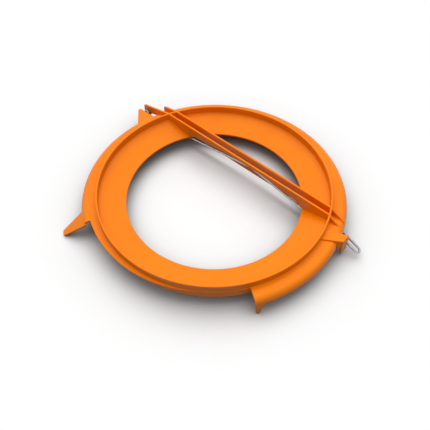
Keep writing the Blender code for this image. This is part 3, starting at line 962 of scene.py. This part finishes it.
    def hinge_lug(self) -> tuple[Surface, Surface]:
        """Widened flange that carries the outer ear; its skirt slants out to the ear's tip.

        Returns:
            The full block, and the hollow to cut from it.
        """
        s = self.sizes
        end_x = s.pin_x - self.outer_ear_margin + s.bite / 2
        tip_y = s.outer_ear_y - s.sheet / 2 - self.lug_tip_width
        root_x = -half_chord(s.wall_mid, s.outer_ear_y)
        corners = [(root_x, s.outer_ear_y), (end_x, s.outer_ear_y), (end_x, tip_y)]
        corners += [polar(s.flange_radius, self.lug_root_deg), polar(s.wall_mid, self.lug_root_deg)]
        walls = (-s.bite / 2, s.sheet, s.sheet, s.sheet, 0.0)
        return self.hollow_block(np.array(corners), walls, -self.lug_top)

    def catch_bridge(self) -> tuple[Surface, Surface]:
        """Level bridge from the ring's wall to the catch's plate.

        Returns:
            The full block, and the hollow to cut from it.
        """
        s = self.sizes
        plate_x = s.flange_radius + self.catch_reach - s.sheet / 2
        near_y = s.catch_far_y - self.catch_width
        corners = [polar(s.wall_mid, self.catch_near_deg), (plate_x, near_y)]
        corners += [(plate_x, s.catch_far_y - s.bite / 2), polar(s.wall_mid, self.catch_far_deg)]
        return self.hollow_block(np.array(corners), (s.sheet, -s.bite, s.sheet, 0.0), -self.catch_top)

    def catch_plate(self) -> Surface:
        """Upright plate at the end of the bridge, beside which the wire's hairpin is clipped.

        Returns:
            A closed surface.
        """
        s = self.sizes
        low = -self.catch_depth
        high = -self.catch_top + self.catch_lip
        near_y = s.catch_far_y - self.catch_width
        corners = [(s.catch_far_y, high), (near_y, high), (near_y, low), (s.catch_far_y, low)]
        outline = rounded(corners, np.full(4, self.catch_corner))
        middle = X_AXIS * (s.flange_radius + self.catch_reach - s.sheet / 2)
        return slab(outline, s.sheet, self.slab_edge, Place(middle, Y_AXIS, Z_AXIS))

    def left_foot(self) -> Surface:
        """Splayed foot: a tapered tab that leaves the flange's roll and slopes out and down.

        Returns:
            A closed surface.
        """
        s = self.sizes
        root = np.array((s.flange_radius - s.sheet / 2, -self.left_foot_depth))
        tip_radius = s.flange_radius + self.left_foot_reach
        slope = math.atan2(self.foot_depth - self.left_foot_depth, tip_radius - root[0])
        tip = np.array((tip_radius, -self.foot_depth + s.sheet / 2 * math.cos(slope)))
        run = tip - root
        length = float(np.linalg.norm(run))
        half = self.left_foot_base / 2
        tip_half = self.left_foot_tip / 2
        corners = [(-half, -self.foot_overlap), (half, -self.foot_overlap), (half, 0.0)]
        corners += [(self.left_foot_skew + tip_half, length), (self.left_foot_skew - tip_half, length)]
        corners.append((-half, 0.0))
        root_round = self.left_foot_root_round
        tip_round = self.left_foot_round
        outline = rounded(corners, (root_round, root_round, root_round, tip_round, tip_round, root_round))
        outward = np.append(polar(1.0, self.left_foot_deg), 0.0)
        tangent = np.append(polar(1.0, self.left_foot_deg + 90.0), 0.0)
        along = (outward * run[0] + Z_AXIS * run[1]) / length
        origin = np.append(polar(root[0], self.left_foot_deg), root[1])
        return slab(outline, s.sheet, self.slab_edge, Place(origin, tangent, along))

    def pin_hole(self) -> Surface:
        """Round cutter along the hinge's axis, through both ears.

        Returns:
            A closed surface.
        """
        s = self.sizes
        outline = circle(s.pin_radius + s.gap, self.pin_hole_sides)
        length = s.ear_gap + 2.0 * (s.rib_thick + s.sheet)
        return slab(outline, length, self.slab_edge, Place(s.pin, Z_AXIS, X_AXIS))

    def build(self, level: LevelFrame, finish: Finish) -> bpy.types.Object:
        """Fuse the shapes into one moulding, dress it and set it on the guard.

        Args:
            level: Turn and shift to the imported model.
            finish: Surface finish of the plastic.

        Returns:
            The finished piece.
        """
        workshop = Workshop(level)
        lug = workshop.joined("hinge_lug", self.hinge_lug(), Join.CUT)
        bridge = workshop.joined("catch_bridge", self.catch_bridge(), Join.CUT)
        solids = [self.wall_and_plate(), self.near_rib(), self.far_rib(), self.flange(), self.strip()]
        solids += [self.outer_ear(), self.catch_plate(), self.left_foot()]
        whole = workshop.joined("moulding", solids, Join.FUSE, (lug, bridge))
        mesh = workshop.cut("guard_moulding", whole, self.pin_hole())
        mesh.shade_smooth()
        mesh.set_sharp_from_angle(angle=math.radians(self.smooth_angle_deg))
        piece = finished_piece("guard_moulding", mesh, finish, Body.GUARD, "guard_ring")
        normals = piece.modifiers.new("even_shading", "WEIGHTED_NORMAL")
        normals.keep_sharp = True
        normals.weight = self.shading_weight
        return piece


@dataclass
class Workshop:
    """Joins closed surfaces with exact booleans, and leaves no helper behind."""

    level: LevelFrame
    weld: float = 0.000002

    def helper(self, name: str, mesh: bpy.types.Mesh) -> bpy.types.Object:
        """Object that only takes part in a join.

        Args:
            name: Name of the object.
            mesh: Its mesh.

        Returns:
            The object.
        """
        obj = bpy.data.objects.new(name, mesh)
        bpy.context.scene.collection.objects.link(obj)
        return obj

    def apply(self, name: str, base: bpy.types.Mesh, tools: Sequence[bpy.types.Mesh],
              join: Join) -> bpy.types.Mesh:
        """Join tools to a base and return the result as a plain mesh.

        Args:
            name: Name of the result.
            base: Mesh to start from.
            tools: Meshes that are fused to it or cut from it, in order.
            join: What each tool does.

        Returns:
            One closed mesh.
        """
        body = self.helper(name, base)
        helpers = [self.helper(f"{name}_{index}", tool) for index, tool in enumerate(tools)]
        for tool in helpers:
            modifier = body.modifiers.new(tool.name, "BOOLEAN")
            modifier.operation = join.value
            modifier.solver = "EXACT"
            modifier.object = tool
            weld = body.modifiers.new(f"{tool.name}_weld", "WELD")
            weld.merge_threshold = self.weld
        depsgraph = bpy.context.evaluated_depsgraph_get()
        result = bpy.data.meshes.new_from_object(body.evaluated_get(depsgraph))
        for obj in (body, *helpers):
            bpy.data.objects.remove(obj, do_unlink=True)
        result.name = name
        return result

    def joined(self, name: str, surfaces: Sequence[Surface], join: Join,
               more: Sequence[bpy.types.Mesh] = ()) -> bpy.types.Mesh:
        """Join several surfaces, the first of which is the base.

        Args:
            name: Name of the result.
            surfaces: Closed surfaces in the level frame.
            join: What the later surfaces do to the first.
            more: Meshes that are joined last.

        Returns:
            One closed mesh.
        """
        meshes = [surface.mesh(f"{name}_{index}", self.level) for index, surface in enumerate(surfaces)]
        return self.apply(name, meshes[0], [*meshes[1:], *more], join)

    def cut(self, name: str, base: bpy.types.Mesh, cutter: Surface) -> bpy.types.Mesh:
        """Cut one surface out of a mesh."""
        return self.apply(name, base, [cutter.mesh(f"{name}_cutter", self.level)], Join.CUT)


@dataclass
class SpringWire:
    """The sprung wire: a coil on the pin, a bowed span under the bar and a hairpin at the catch."""

    sizes: RingSizes
    eye_turns: float = 1.2
    eye_self_gap: float = 0.0005
    eye_tail: float = 0.009
    eye_steps: int = 72
    span_side_gap: float = 0.0006
    bow_x: float = 0.0064
    bow_rise: float = 0.0078
    bow_radius: float = 0.010
    bend_radius: float = 0.008
    bend_steps: int = 10
    hairpin_bend_set_in: float = 0.006
    hairpin_side_gap: float = 0.0014
    hairpin_bend_drop: float = 0.0006
    hairpin_length: float = 0.016
    hairpin_sweep: float = 0.0028
    hairpin_drop: float = 0.003
    hairpin_width: float = 0.0052
    hairpin_tail: float = 0.009
    hairpin_steps: int = 20
    lean_start: float = 0.0625
    lean_run: float = 0.0375
    cut_edge: float = 0.0002
    sides: int = 28

    def coil(self) -> Array:
        """Helix round the pin that ends at its lowest point, heading for +X.

        Returns:
            Points of the centre line, from the free end on.
        """
        s = self.sizes
        pitch = 2.0 * s.wire_radius + self.eye_self_gap
        turn = np.linspace(-self.eye_turns, 0.0, self.eye_steps + 1)
        angle = math.tau * turn
        offset = np.stack((np.sin(angle), np.zeros_like(angle), -np.cos(angle)), axis=1)
        rise = (pitch * (turn + self.eye_turns / 2))[:, None] * Y_AXIS
        return s.pin + s.eye_radius * offset + rise

    def route(self) -> Array:
        """Centre line of the whole wire, from the coil's free end to the hairpin's.

        Returns:
            Points in order: the coil, the rounded span, the half circle of the tip and the short tail.
        """
        s = self.sizes
        coil = self.coil()
        leave = coil[-1]
        entry_y = s.near_rib_y + s.rib_thick / 2 + self.span_side_gap
        entry_x = half_chord(s.hole_radius, entry_y) + s.bite
        entry_z = s.entry_z
        bow_y = s.far_rib_y - s.rib_thick / 2 - self.span_side_gap - s.wire_radius
        bend_x = s.flange_radius - self.hairpin_bend_set_in
        bend_y = s.catch_far_y + self.hairpin_side_gap + s.wire_radius
        near_bend = np.array((bend_x, bend_y, entry_z - self.hairpin_bend_drop))
        strand = np.array((self.hairpin_length, -self.hairpin_sweep, -self.hairpin_drop))
        across = Y_AXIS * self.hairpin_width
        corners = [leave, leave + X_AXIS * self.eye_tail, (-entry_x, entry_y, entry_z)]
        corners += [(self.bow_x, bow_y, entry_z + self.bow_rise), (entry_x, entry_y, entry_z)]
        corners += [near_bend, near_bend + strand]
        bend = self.bend_radius
        span = rounded(corners, (0.0, bend, bend, self.bow_radius, bend, bend, 0.0), self.bend_steps)
        middle = near_bend + strand + across / 2
        angle = np.linspace(0.0, math.pi, self.hairpin_steps + 1)[1:-1, None]
        outwards = unit(strand) * self.hairpin_width / 2
        tip = middle - across / 2 * np.cos(angle) + outwards * np.sin(angle)
        far_bend = near_bend + across
        tail = [near_bend + strand + across, far_bend, far_bend - X_AXIS * self.hairpin_tail]
        back = rounded(tail, (0.0, bend, 0.0), self.bend_steps)
        return np.concatenate((coil[:-1], span, tip, back))

    def surface(self) -> Surface:
        """Round section carried along the route, with slightly rounded cut ends.

        The section's first axis leans from +Y to +Z before the hairpin, so that it never lies along the
        wire. The map's first value is the way along the wire over its girth, and its second goes from 1 to
        0 and back round it.

        Returns:
            A closed surface with a map.
        """
        s = self.sizes
        path = self.route()
        ahead = unit(np.diff(path, axis=0))
        tangent = unit(np.concatenate((ahead[:1], ahead[:-1] + ahead[1:], ahead[-1:])))
        set_in, advance = round_over(self.cut_edge)
        start = path[0] + tangent[0] * advance[:, None]
        end = path[-1] - tangent[-1] * advance[::-1, None]
        path = np.concatenate((start, path[1:-1], end))
        copies = np.ones(len(tangent), dtype=int)
        copies[[0, -1]] = len(set_in)
        tangent = np.repeat(tangent, copies, axis=0)
        full = np.zeros(len(path) - 2 * len(set_in))
        radius = s.wire_radius - np.concatenate((set_in, full, set_in[::-1]))
        lean = np.clip((path[:, :1] - self.lean_start) / self.lean_run, 0.0, 1.0)
        guide = Y_AXIS * (1.0 - lean) + Z_AXIS * lean
        first = unit(guide - tangent * np.sum(guide * tangent, axis=1, keepdims=True))
        second = np.cross(tangent, first)
        share = np.arange(self.sides) / self.sides
        ring = radius[:, None, None]
        cosine = np.cos(math.tau * share)[None, :, None]
        sine = np.sin(math.tau * share)[None, :, None]
        points = path[:, None] + ring * (first[:, None] * cosine + second[:, None] * sine)
        step = np.linalg.norm(np.diff(path, axis=0), axis=1)
        travelled = np.concatenate(([0.0], np.cumsum(step))) / (math.tau * s.wire_radius)
        mirror = np.abs(2.0 * share - 1.0)
        uv = np.stack(np.broadcast_arrays(travelled[:, None], mirror[None]), axis=-1)
        return tube(points, uv.reshape(-1, 2))

    def build(self, level: LevelFrame, finish: Finish) -> bpy.types.Object:
        """Make the wire, dress it and hang it on its hinge.

        Args:
            level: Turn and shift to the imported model.
            finish: Surface finish of the wire.

        Returns:
            The finished piece.
        """
        mesh = self.surface().mesh("bright_spring_wire", level)
        mesh.set_sharp_from_angle(angle=STEEL_SHARP)
        return finished_piece("bright_spring_wire", mesh, finish, Body.WIRE, "spring_wire")


@dataclass
class HingePin:
    """The straight pin through both ears."""

    sizes: RingSizes
    proud: float = 0.0004
    end_round: float = 0.00035
    sides: int = 64

    def build(self, level: LevelFrame, finish: Finish) -> bpy.types.Object:
        """Make the pin, a round slab along the hinge's axis with its ends rounded over, and dress it.

        Args:
            level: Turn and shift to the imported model.
            finish: Surface finish of the pin.

        Returns:
            The finished piece.
        """
        s = self.sizes
        outline = circle(s.pin_radius, self.sides)
        length = s.ear_gap + s.rib_thick + s.sheet + 2.0 * self.proud
        pin = slab(outline, length, self.end_round, Place(s.pin, Z_AXIS, X_AXIS))
        mesh = pin.mesh("turned_hinge_pin", level)
        mesh.set_sharp_from_angle(angle=STEEL_SHARP)
        return finished_piece("turned_hinge_pin", mesh, finish, Body.GUARD, "hinge_pin")


@dataclass(frozen=True)
class Grain:
    """A cloudy pattern: how fine it is, how many layers it has, and its relief where it has one."""

    scale: float
    layers: float
    depth: float = 0.0
    strength: float = 0.0


class NodeSheet:
    """The node tree of a material or a world, with short ways to add and link nodes."""

    def __init__(self, owner: bpy.types.Material | bpy.types.World,
                 shader: str = "Principled BSDF") -> None:
        """Start on the nodes that a new material or world comes with.

        Args:
            owner: The material or world.
            shader: Name of its shader node.
        """
        owner.use_nodes = True
        self.owner = owner
        self.tree = owner.node_tree
        self.inputs = self.tree.nodes[shader].inputs

    def add(self, kind: str, **settings: Any) -> bpy.types.Node:
        """Add a node and set its properties.

        Args:
            kind: Blender's name of the node's type.
            settings: Properties, or input values where the name is that of a socket.

        Returns:
            The node.
        """
        node = self.tree.nodes.new(kind)
        for key, value in settings.items():
            if hasattr(node, key):
                setattr(node, key, value)
            else:
                node.inputs[key.replace("_", " ").title()].default_value = value
        return node

    def link(self, source: Socket, target: Socket) -> None:
        """Carry one socket's value to another."""
        self.tree.links.new(source, target)

    def stretched(self, place: Socket, scale: Triple) -> Socket:
        """Coordinates scaled along each axis.

        Args:
            place: The coordinates.
            scale: Factor for each axis.

        Returns:
            The scaled coordinates.
        """
        node = self.add("ShaderNodeMapping", scale=scale)
        self.link(place, node.inputs["Vector"])
        return node.outputs["Vector"]

    def noise(self, place: Socket, grain: Grain) -> Socket:
        """Cloudy value from 0 to 1.

        Args:
            place: Coordinates of the pattern.
            grain: The pattern.

        Returns:
            The value.
        """
        node = self.add("ShaderNodeTexNoise", scale=grain.scale, detail=grain.layers)
        self.link(place, node.inputs["Vector"])
        return node.outputs["Fac"]

    def spread(self, value: Socket, ends: Pair, results: Pair, way: str = "LINEAR") -> bpy.types.Node:
        """Carry a value from its own range to another, held at both ends.

        Args:
            value: The value.
            ends: Its own range.
            results: What the two ends become.
            way: Blender's name of the course between them.

        Returns:
            The node, whose Result is the new value.
        """
        node = self.add("ShaderNodeMapRange", interpolation_type=way, from_min=ends[0], from_max=ends[1],
                        to_min=results[0], to_max=results[1])
        self.link(value, node.inputs["Value"])
        return node

    def combined(self, operation: str, first: Socket, second: Socket | float) -> Socket:
        """Result of a sum on two values.

        Args:
            operation: Blender's name of the sum.
            first: The first value.
            second: The second value, or a plain number.

        Returns:
            The result.
        """
        node = self.add("ShaderNodeMath", operation=operation)
        self.link(first, node.inputs[0])
        if isinstance(second, float):
            node.inputs[1].default_value = second
        else:
            self.link(second, node.inputs[1])
        return node.outputs["Value"]

    def tint(self, value: Socket, tones: tuple[Colour, Colour]) -> Socket:
        """Colour that runs from one tone to another with a cloudy value.

        Args:
            value: The cloudy value.
            tones: The two tones.

        Returns:
            The colour.
        """
        node = self.add("ShaderNodeValToRGB")
        for element, position, tone in zip(node.color_ramp.elements, CLOUD_RANGE, tones):
            element.position = position
            element.color = (*tone, 1.0)
        self.link(value, node.inputs["Fac"])
        return node.outputs["Color"]

    def relief(self, height: Socket, grain: Grain, under: Socket | None = None) -> Socket:
        """Bump from a height.

        Args:
            height: Height from 0 to 1.
            grain: The pattern, with its real depth and the share of it that shows.
            under: A coarser relief to lay this one on.

        Returns:
            The bent normal.
        """
        node = self.add("ShaderNodeBump", strength=grain.strength, distance=grain.depth)
        self.link(height, node.inputs["Height"])
        if under is not None:
            self.link(under, node.inputs["Normal"])
        return node.outputs["Normal"]


@dataclass(frozen=True)
class Finish:
    """A surface finish: the tones it varies between and how glossy it is."""

    name: str
    tones: tuple[Colour, Colour]
    roughness: Pair

    def material(self) -> bpy.types.Material:
        """Make the material."""
        raise NotImplementedError

    def dressed(self, sheet: NodeSheet, tone: Socket, gloss: Socket, normal: Socket) -> bpy.types.Material:
        """Give a material this finish's colour and gloss, and a relief.

        Args:
            sheet: Nodes of the material.
            tone: Cloudy value that the colour follows.
            gloss: Cloudy value that the roughness follows.
            normal: The relief's normal.

        Returns:
            The material.
        """
        rough = sheet.spread(gloss, CLOUD_RANGE, self.roughness)
        sheet.link(sheet.tint(tone, self.tones), sheet.inputs["Base Color"])
        sheet.link(rough.outputs["Result"], sheet.inputs["Roughness"])
        sheet.link(normal, sheet.inputs["Normal"])
        return sheet.owner


@dataclass(frozen=True)
class MouldedPlastic(Finish):
    """Satin plastic: fine spark-eroded grain, faint flow clouds and an uneven gloss."""

    clouds: Grain = Grain(28.0, 3.0)
    gloss: Grain = Grain(160.0, 4.0)
    waves: Grain = Grain(55.0, 1.0, 0.0005, 0.05)
    grain: Grain = Grain(2600.0, 2.0, 0.00004, 0.10)
    shine: float = 0.2

    def material(self) -> bpy.types.Material:
        """Make the material, with the fine grain laid on the faint waves.

        Returns:
            The material.
        """
        sheet = NodeSheet(bpy.data.materials.new(self.name))
        place = sheet.add("ShaderNodeTexCoord").outputs["Object"]
        waves = sheet.relief(sheet.noise(place, self.waves), self.waves)
        grain = sheet.relief(sheet.noise(place, self.grain), self.grain, waves)
        sheet.inputs["Specular IOR Level"].default_value = self.shine
        return self.dressed(sheet, sheet.noise(place, self.clouds), sheet.noise(place, self.gloss), grain)


@dataclass(frozen=True)
class DrawnSteel(Finish):
    """Bright wire: fine die lines along its length, patches of duller surface, and painted shade on its edges
    from a near-black edge tint.
    """

    lines: Grain = Grain(3.0, 4.0, 0.00003, 0.5)
    line_stretch: Triple = (0.05, 14.0, 1.0)
    patches: Grain = Grain(350.0, 3.0)
    # Painted shade: near-black tint of the grazing reflections along the wire's edges.
    painted_edge_shade: Colour = (0.02, 0.02, 0.025)

    def material(self) -> bpy.types.Material:
        """Make the material, whose lines follow the wire's own map.

        Returns:
            The material.
        """
        sheet = NodeSheet(bpy.data.materials.new(self.name))
        coordinates = sheet.add("ShaderNodeTexCoord").outputs
        lines = sheet.noise(sheet.stretched(coordinates["UV"], self.line_stretch), self.lines)
        patches = sheet.noise(coordinates["Object"], self.patches)
        sheet.inputs["Metallic"].default_value = 1.0
        # Near-black edge tint: painted shade that darkens the wire's reflections at its edges.
        sheet.inputs["Specular Tint"].default_value = (*self.painted_edge_shade, 1.0)
        return self.dressed(sheet, patches, lines, sheet.relief(lines, self.lines))


@dataclass(frozen=True)
class TurnedSteel(Finish):
    """Plain pin: faint cutting rings and a little dulling."""

    rings: Grain = Grain(1500.0, 3.0, 0.00002, 0.5)
    ring_stretch: Triple = (0.05, 1.0, 0.05)
    patches: Grain = Grain(700.0, 2.0)

    def material(self) -> bpy.types.Material:
        """Make the material, whose rings lie across the hinge's axis.

        Returns:
            The material.
        """
        sheet = NodeSheet(bpy.data.materials.new(self.name))
        place = sheet.add("ShaderNodeTexCoord").outputs["Object"]
        rings = sheet.noise(sheet.stretched(place, self.ring_stretch), self.rings)
        patches = sheet.noise(place, self.patches)
        sheet.inputs["Metallic"].default_value = 1.0
        return self.dressed(sheet, patches, patches, sheet.relief(rings, self.rings))


ORANGE_PLASTIC = MouldedPlastic(
    "orange_moulded_plastic", ((0.83, 0.196, 0.0), (0.87, 0.216, 0.0005)), (0.20, 0.27))
WIRE_STEEL = DrawnSteel("bright_drawn_steel", ((0.40, 0.40, 0.41), (0.54, 0.54, 0.55)), (0.16, 0.26))
PIN_STEEL = TurnedSteel("plain_pin_steel", ((0.50, 0.50, 0.51), (0.62, 0.62, 0.63)), (0.26, 0.38))


def finished_piece(name: str, mesh: bpy.types.Mesh, finish: Finish, body: Body, node: str) -> bpy.types.Object:
    """Give a mesh its finish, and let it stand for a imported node.

    Args:
        name: Name of the piece.
        mesh: Its mesh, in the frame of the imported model.
        finish: Its surface finish.
        body: The body that it moves with.
        node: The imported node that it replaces.

    Returns:
        The piece.
    """
    mesh.materials.clear()
    mesh.materials.append(finish.material())
    piece = bpy.data.objects.new(name, mesh)
    bpy.context.scene.collection.objects.link(piece)
    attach(piece, body.value)
    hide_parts(node)
    return piece


@dataclass(frozen=True)
class PhotoCamera:
    """Camera at the photograph's viewing angle, in the guard's own frame."""

    place: Triple = (0.2470, -0.2734, 0.4224)
    right: Triple = (0.7472, 0.6646, -0.0048)
    back: Triple = (0.4146, -0.4604, 0.7850)
    focal_pixels: float = 600.0
    image_pixels: float = 430.0
    sensor_mm: float = 36.0
    nearest: float = 0.01

    def build(self, level: LevelFrame) -> bpy.types.Object:
        """Make the camera and let the scene look through it.

        Args:
            level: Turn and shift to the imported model.

        Returns:
            The camera.
        """
        right = unit(np.array(self.right))
        back = np.array(self.back)
        back = unit(back - right * np.dot(back, right))
        view = np.eye(4)
        view[:3, :3] = np.stack((right, np.cross(back, right), back), axis=1)
        view[:3, 3] = self.place
        data = bpy.data.cameras.new("photo_camera")
        data.sensor_width = self.sensor_mm
        data.lens = self.sensor_mm * self.focal_pixels / self.image_pixels
        data.clip_start = self.nearest
        camera = bpy.data.objects.new("photo_camera", data)
        bpy.context.scene.collection.objects.link(camera)
        camera.matrix_world = level.matrix() @ Matrix(view.tolist())
        bpy.context.scene.camera = camera
        return camera


@dataclass(frozen=True)
class Studio:
    """Plain pale floor and soft studio light, as the photograph shows them.

    The floor lies level with the ring, under the tips of its feet. To the eye, metal and glass the floor is
    pale and the world behind it white. All other rays see a darker floor and only the light on the guard.
    """

    shown_rays: tuple[str, ...] = ("Is Camera Ray", "Is Glossy Ray", "Is Transmission Ray")
    floor_size: float = 8.0
    floor_depth: float = 0.0287
    floor_seen: float = 0.82
    floor_bounce: float = 0.10
    floor_roughness: float = 0.9
    # Painted shadow on the floor: how far its occlusion reaches, how strongly it darkens, and its samples.
    painted_shadow_reach: float = 0.07
    painted_shadow_depth: float = 0.5
    painted_shadow_samples: int = 16
    background_light: float = 1.0
    world_light: float = 0.75
    horizon_light: float = 0.10
    horizon_rise: Pair = (0.1, 0.75)
    key_light: float = 2.1
    key_spread_deg: float = 70.0
    key_from: Triple = (-0.300, 0.333, 0.894)

    def by_ray(self, sheet: NodeSheet, hidden: float, shown: float) -> bpy.types.Node:
        """One value for the rays that show the background, and another for the rest.

        Args:
            sheet: Nodes of the floor or the world.
            hidden: Value for the rest.
            shown: Value for the rays that show it.

        Returns:
            The node, whose Result is the value.
        """
        path = sheet.add("ShaderNodeLightPath").outputs
        found = path[self.shown_rays[0]]
        for ray in self.shown_rays[1:]:
            found = sheet.combined("MAXIMUM", found, path[ray])
        return sheet.spread(found, (0.0, 1.0), (hidden, shown))

    def floor_material(self) -> bpy.types.Material:
        """Matt white with little bounce, and a painted shadow: its colour darkens close to the guard by
        ambient occlusion.

        Returns:
            The material.
        """
        sheet = NodeSheet(bpy.data.materials.new("pale_floor"))
        tone = self.by_ray(sheet, self.floor_bounce, self.floor_seen)
        # Painted shadow: ambient occlusion, raised to a power, darkens the floor's colour near the guard.
        contact = sheet.add("ShaderNodeAmbientOcclusion", samples=self.painted_shadow_samples,
                            distance=self.painted_shadow_reach)
        shade = sheet.combined("POWER", contact.outputs["AO"], self.painted_shadow_depth)
        shaded = sheet.combined("MULTIPLY", tone.outputs["Result"], shade)
        sheet.link(shaded, sheet.inputs["Base Color"])
        sheet.inputs["Roughness"].default_value = self.floor_roughness
        sheet.inputs["Specular IOR Level"].default_value = 0.0
        return sheet.owner

    def floor(self, level: LevelFrame) -> None:
        """One wide square, level with the ring.

        Args:
            level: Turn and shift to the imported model.
        """
        half = self.floor_size / 2
        plan = np.array([(-half, -half), (half, -half), (half, half), (-half, half)])
        corners = level.place(np.column_stack((plan, np.full(len(plan), -self.floor_depth))))
        mesh = bpy.data.meshes.new("studio_floor")
        mesh.from_pydata(corners.tolist(), [], [range(len(plan))])
        mesh.materials.append(self.floor_material())
        floor = bpy.data.objects.new("studio_floor", mesh)
        bpy.context.scene.collection.objects.link(floor)

    def world(self) -> None:
        """Fill light that grows from the horizon upwards, behind a white background."""
        world = bpy.data.worlds.new("studio_world")
        bpy.context.scene.world = world
        sheet = NodeSheet(world, "Background")
        # What the world shows depends on the kind of ray, so it isn't sampled as a lamp is.
        world.cycles.sampling_method = "NONE"
        split = sheet.add("ShaderNodeSeparateXYZ")
        sheet.link(sheet.add("ShaderNodeTexCoord").outputs["Generated"], split.inputs["Vector"])
        lights = (self.horizon_light, self.world_light)
        fill = sheet.spread(split.outputs["Z"], self.horizon_rise, lights, "SMOOTHSTEP")
        strength = self.by_ray(sheet, 0.0, self.background_light)
        sheet.link(fill.outputs["Result"], strength.inputs["To Min"])
        sheet.link(strength.outputs["Result"], sheet.inputs["Strength"])
        sheet.inputs["Color"].default_value = (1.0, 1.0, 1.0, 1.0)

    def key(self) -> None:
        """Broad soft light from above and a little behind, which isn't seen in reflections."""
        data = bpy.data.lights.new("key_softbox", "SUN")
        data.energy = self.key_light
        data.angle = math.radians(self.key_spread_deg)
        lamp = bpy.data.objects.new("key_softbox", data)
        lamp.rotation_euler = Vector(self.key_from).to_track_quat("Z", "Y").to_euler()
        lamp.visible_glossy = False
        bpy.context.scene.collection.objects.link(lamp)

    def build(self, level: LevelFrame) -> None:
        """Set up the floor, the world and the lamp.

        Args:
            level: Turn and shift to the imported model.
        """
        bpy.context.scene.view_settings.view_transform = "Standard"
        self.floor(level)
        self.world()
        self.key()


def main() -> None:
    """Build the guard's pieces in order, then the studio round them."""
    logging.basicConfig(level=logging.INFO, format="%(name)s: %(message)s")
    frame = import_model()
    sizes = RingSizes()
    level = LevelFrame.from_record(frame["record"], sizes.pin)
    pieces = [
        GuardMoulding(sizes).build(level, ORANGE_PLASTIC),
        SpringWire(sizes).build(level, WIRE_STEEL),
        HingePin(sizes).build(level, PIN_STEEL),
    ]
    for piece in pieces:
        log.info("%s: %d faces", piece.name, len(piece.data.polygons))
    Studio().build(level)
    PhotoCamera().build(level)


if __name__ == "__main__":
    main()
